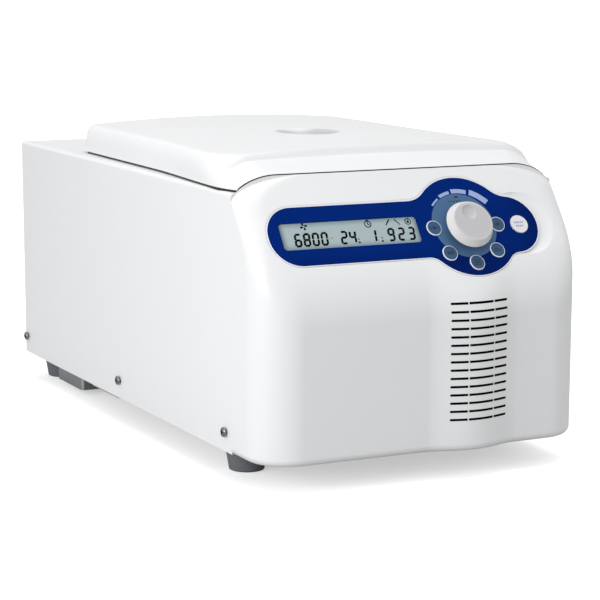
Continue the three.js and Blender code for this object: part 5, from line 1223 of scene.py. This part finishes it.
DECK_TOP = COVER_TOP - SHEET - GAP
BOWL_R, BOWL_WALL, BOWL_DEEP, BOWL_CORNER = 97.0, 1.5, 88.0, 12.0
BOWL_HOLE, BOWL_FLANGE, FLANGE_THICK = 24.0, 5.5, 1.2
BOWL_FLOOR = DECK_TOP - BOWL_DEEP
GASKET_R = 109.0
GASKET_LOW, GASKET_TOP = DECK_TOP + GAP, LID_BOTTOM - 0.4
ROTOR_R, ROTOR_TALL, ROTOR_HUB, HUB_TALL = 88.0, 40.0, 17.0, 26.0
ROTOR_Z = BOWL_FLOOR + 20
ROTOR_ROUND = 6.0
RIM_Z = ROTOR_Z + ROTOR_TALL
CONE_R, CONE_DROP = ROTOR_R - 14, 28.0
CONE_Z = RIM_Z - CONE_DROP
SHAFT_BORE = 6.3
BORE_R, BORE_DEEP, BORES, CONE_SHARE = 5.8, 24.0, 12, 0.46
NUT_Z = ROTOR_Z + HUB_TALL + GAP
NUT_R, NUT_TALL, GRIPS, GRIP_R, GRIP_OUT = 15.0, 16.0, 6, 4.0, 17.2


def make_chamber():
    outer = BOWL_R + BOWL_WALL
    flange = outer + BOWL_FLANGE
    inside = rounded_corner(BOWL_R, BOWL_FLOOR, BOWL_CORNER, 8)
    outside = rounded_corner(outer, BOWL_FLOOR - BOWL_WALL, BOWL_CORNER, 4)
    profile = [(BOWL_HOLE, BOWL_FLOOR - BOWL_WALL), *outside]
    profile += [(outer, DECK_TOP - FLANGE_THICK), (flange, DECK_TOP - FLANGE_THICK)]
    profile += [(flange, DECK_TOP - EASE), (flange - EASE, DECK_TOP)]
    profile += [(BOWL_R + 1, DECK_TOP), (BOWL_R + EASE, DECK_TOP - EASE), (BOWL_R, DECK_TOP - 1)]
    profile += [*reversed(inside), (BOWL_HOLE, BOWL_FLOOR)]
    bowl = moved(lathe("chamber_bowl", profile, 128), 0, CHAMBER_Y)
    dressed(smoothed(bowl), spun_steel, "cabinet", "steel", "rotor_bowl")
    flank = [(3.0, GASKET_LOW), (2.6, GASKET_LOW + 0.8), (1.6, GASKET_TOP - 0.5), (0.9, GASKET_TOP)]
    seal = [(GASKET_R - flank[0][0], GASKET_LOW)]
    seal += [(GASKET_R + half, z) for half, z in flank]
    seal += [(GASKET_R - half, z) for half, z in reversed(flank[1:])]
    gasket = moved(lathe("chamber_seal", seal, 128), 0, CHAMBER_Y)
    dressed(smoothed(gasket, 40), dark_rubber, "cabinet", "dark_rubber", "chamber_gasket")


def make_rotor():
    profile = [(SHAFT_BORE, ROTOR_Z), *rounded_corner(ROTOR_R, ROTOR_Z, ROTOR_ROUND, 5)]
    profile += [(ROTOR_R, RIM_Z - 1), (ROTOR_R - EASE, RIM_Z - EASE), (ROTOR_R - 1, RIM_Z)]
    profile += [(CONE_R + 1.5, RIM_Z), (CONE_R, RIM_Z - 0.4), (CONE_R - 1.2, RIM_Z - 1.4)]
    profile += [(CONE_R - CONE_DROP + 2, CONE_Z + 1.9), (CONE_R - CONE_DROP, CONE_Z + 0.4)]
    profile += [(CONE_R - CONE_DROP - 2, CONE_Z), (ROTOR_HUB + 2, CONE_Z), (ROTOR_HUB, CONE_Z + 2)]
    hub_top = ROTOR_Z + HUB_TALL
    profile += [(ROTOR_HUB, hub_top - 0.8), (ROTOR_HUB - 0.8, hub_top), (SHAFT_BORE, hub_top)]
    rotor = lathe("rotor_body", profile, 144)
    mouth = Vector((CONE_R - CONE_DROP * CONE_SHARE, 0, RIM_Z - CONE_DROP * CONE_SHARE)) * MM
    bore = [(0, -BORE_DEEP), (3.4, -BORE_DEEP + 0.6), (BORE_R, -BORE_DEEP + 4), (BORE_R, -0.7)]
    bore += [(BORE_R + 0.7, 0.0), (BORE_R + 0.7, CUT), (0, CUT)]
    tools = []
    for n in range(BORES):
        turn = Matrix.Rotation(math.tau * (n + 0.5) / BORES, 4, "Z")
        lean = Matrix.Translation(mouth) @ Matrix.Rotation(-math.pi / 4, 4, "Y")
        tools.append(moved(lathe("tool", bore, 32), turn=turn @ lean))
    combine(rotor, joined("tool", tools))
    moved(rotor, 0, CHAMBER_Y)
    dressed(smoothed(rotor), aluminium, "rotor_assembly", "aluminium", "rotor")


def make_nut():
    section = ((SHAFT_BORE, 0), (14.4, 0), (NUT_R, 0.6), (NUT_R, 13.6), (14.4, 15), (12.8, NUT_TALL))
    nut = lathe("clamp_nut", [(r, NUT_Z + z) for r, z in (*section, (SHAFT_BORE, NUT_TALL))], 96)
    grip = [(0, NUT_Z + 4), (3.2, NUT_Z + 4), (GRIP_R, NUT_Z + 4.8), (GRIP_R, NUT_Z + 20), (0, NUT_Z + 20)]
    grips = [moved(lathe("tool", grip, 32), x, y) for x, y in disc((0, 0), GRIP_OUT, GRIPS)]
    combine(nut, joined("tool", grips))
    dressed(smoothed(moved(nut, 0, CHAMBER_Y)), black_plastic, "rotor_assembly", "black_plastic", "rotor_nut")


make_housing()
make_vents()
make_film()
make_display()
make_keys()
make_knob()
make_lid()
make_screws()
make_feet()
make_chamber()
make_rotor()
make_nut()

# CAD shapes that keep their form: surface, rounding of the edges and nodes
REFINED = (
    (white_paint, 0.4, "cabinet_cover"),
    (zinc, 0.3, "base_pan"),
    (white_paint, 0.3, "rear_panel"),
    (grey_plastic, 0.4, "exhaust_hood"),
    (black_plastic, 0.3, "mains_inlet", "power_switch"),
    (black_plastic, 0.4, "power_rocker"),
    (zinc, 0.3, "drain_tray"),
    (grey_plastic, 0.4, "condensate_duct"),
    (grey_plastic, 0.3, "chamber_deck"),
    (liner_plastic, 0.5, "lid_liner"),
    (steel, 0.2, "lid_hook", "hinge_bracket_left", "hinge_bracket_right"),
    (black_paint, 0.5, "compressor"),
    (black_plastic, 0.3, "fan_frame"),
    (black_plastic, 0.2, "condenser_fan"),
    (black_plastic, 0.3, "lid_lock"),
    (steel, 0.3, "lock_bolt"),
)
# CAD nodes that are only given a surface
PAINTED = (
    (black_plastic, "display_module"),
    (zinc, "dial_encoder", "drive_motor"),
    (circuit, "control_board", "power_board"),
    (foam, "intake_filter"),
    (insulation, "chamber_insulation"),
    (steel, "motor_plate", "drive_shaft"),
    (dark_rubber, "motor_damper"),
    (chrome, "hinge_pin_left", "hinge_pin_right"),
    (aluminium, "condenser"),
    (copper, "suction_line", "discharge_line"),
)
for surface, edge, *nodes in REFINED:
    for node in nodes:
        refined(node, surface, edge)
for surface, *nodes in PAINTED:
    for node in nodes:
        painted(frame["nodes"][node], surface)


# Floor, light and camera

FLOOR_HALF = 40.0  # metres
BOUNCE = 0.52  # of the light that the floor gets, what it throws back at the object
FLOOR_LIFT = (300.0, 900.0, 0.48, 0.94)  # from and to these distances, and the light added there
WORLD_LIGHT = 0.76
WHITE_LIGHT = (1.0, 1.0, 1.0, 1.0)
LIGHTS = (  # name, place, size and power
    ("key_light", (-1.2, -0.66, 0.5), 0.55, 5.8),
    ("side_light", (-1.6, -0.25, 0.3), 0.8, 3.3),
    ("top_light", (0.1, -0.2, 2.0), 1.5, 11.9),
)
AIM = Vector((0, -0.12, 0.14))
CAMERA_PLACE = (-795.97, -1614.44, 401.45)
CAMERA_TURN = (-26.795, 9.484, 0.333)  # to the side, down and about the line of sight, in degrees
CAMERA_LENS, CAMERA_SENSOR = 127.383, 36.0
CAMERA_NEAR, CAMERA_FAR = 0.05, 200.0


def camera_only(tree, seen, unseen, socket):
    """Joins two shaders so that the lens sees the first, and the object is lit by the second."""
    path = tree.nodes.new("ShaderNodeLightPath")
    mix = tree.nodes.new("ShaderNodeMixShader")
    tree.links.new(path.outputs["Is Camera Ray"], mix.inputs[0])
    tree.links.new(unseen, mix.inputs[1])
    tree.links.new(seen, mix.inputs[2])
    tree.links.new(mix.outputs[0], socket)


def make_floor():
    far = FLOOR_HALF / MM
    corners = [(-far, -far, 0), (far, -far, 0), (far, far, 0), (-far, far, 0)]
    floor = piece("studio_floor", corners, [(0, 1, 2, 3)])
    paper = Surface("studio_paper", 0xF4F4F4, 0.9).gloss(0.0).tint(0.004, 3.0)
    limits = dict(zip(("From Min", "From Max", "To Min", "To Max"), FLOOR_LIFT))
    lift = paper.node("ShaderNodeMapRange", {"Value": paper.distance_from(0, 0), **limits})["Result"]
    lifted = paper.node("ShaderNodeEmission", {"Color": WHITE_LIGHT, "Strength": lift})[0]
    total = paper.node("ShaderNodeAddShader", {0: paper.shader.outputs[0], 1: lifted})[0]
    dull = paper.node("ShaderNodeBsdfDiffuse", {"Color": (BOUNCE, BOUNCE, BOUNCE, 1.0)})[0]
    camera_only(paper.tree, total, dull, paper.tree.nodes["Material Output"].inputs["Surface"])
    floor.data.materials.append(paper.material)


def make_light():
    world = bpy.data.worlds.new("studio")
    world.use_nodes = True
    tree = world.node_tree
    soft = tree.nodes["Background"]
    white = tree.nodes.new("ShaderNodeBackground")
    for background, strength in ((soft, WORLD_LIGHT), (white, 1.0)):
        background.inputs["Color"].default_value = WHITE_LIGHT
        background.inputs["Strength"].default_value = strength
    camera_only(tree, white.outputs[0], soft.outputs[0], tree.nodes["World Output"].inputs["Surface"])
    bpy.context.scene.world = world
    for name, place, size, power in LIGHTS:
        lamp = bpy.data.lights.new(name, "AREA")
        lamp.shape = "DISK"
        lamp.size = size
        lamp.energy = power
        obj = added(name, lamp)
        obj.location = place
        obj.rotation_euler = (Vector(place) - AIM).to_track_quat("Z", "Y").to_euler()


def make_camera():
    azimuth, pitch, roll = (math.radians(angle) for angle in CAMERA_TURN)
    across, along, flat = math.sin(azimuth), math.cos(azimuth), math.cos(pitch)
    ahead = Vector((-across * flat, along * flat, -math.sin(pitch)))
    right = Vector((along, across, 0))
    up = right.cross(ahead)
    right_rolled = right * math.cos(roll) + up * math.sin(roll)
    up_rolled = up * math.cos(roll) - right * math.sin(roll)
    turn = Matrix((right_rolled, up_rolled, -ahead)).transposed().to_4x4()
    data = bpy.data.cameras.new("camera")
    data.sensor_width = CAMERA_SENSOR
    data.lens = CAMERA_LENS
    data.clip_start = CAMERA_NEAR
    data.clip_end = CAMERA_FAR
    camera = added("camera", data)
    camera.matrix_world = Matrix.Translation(Vector(CAMERA_PLACE) * MM) @ turn
    bpy.context.scene.camera = camera


make_floor()
make_light()
make_camera()
bpy.context.scene.view_settings.view_transform = "Standard"
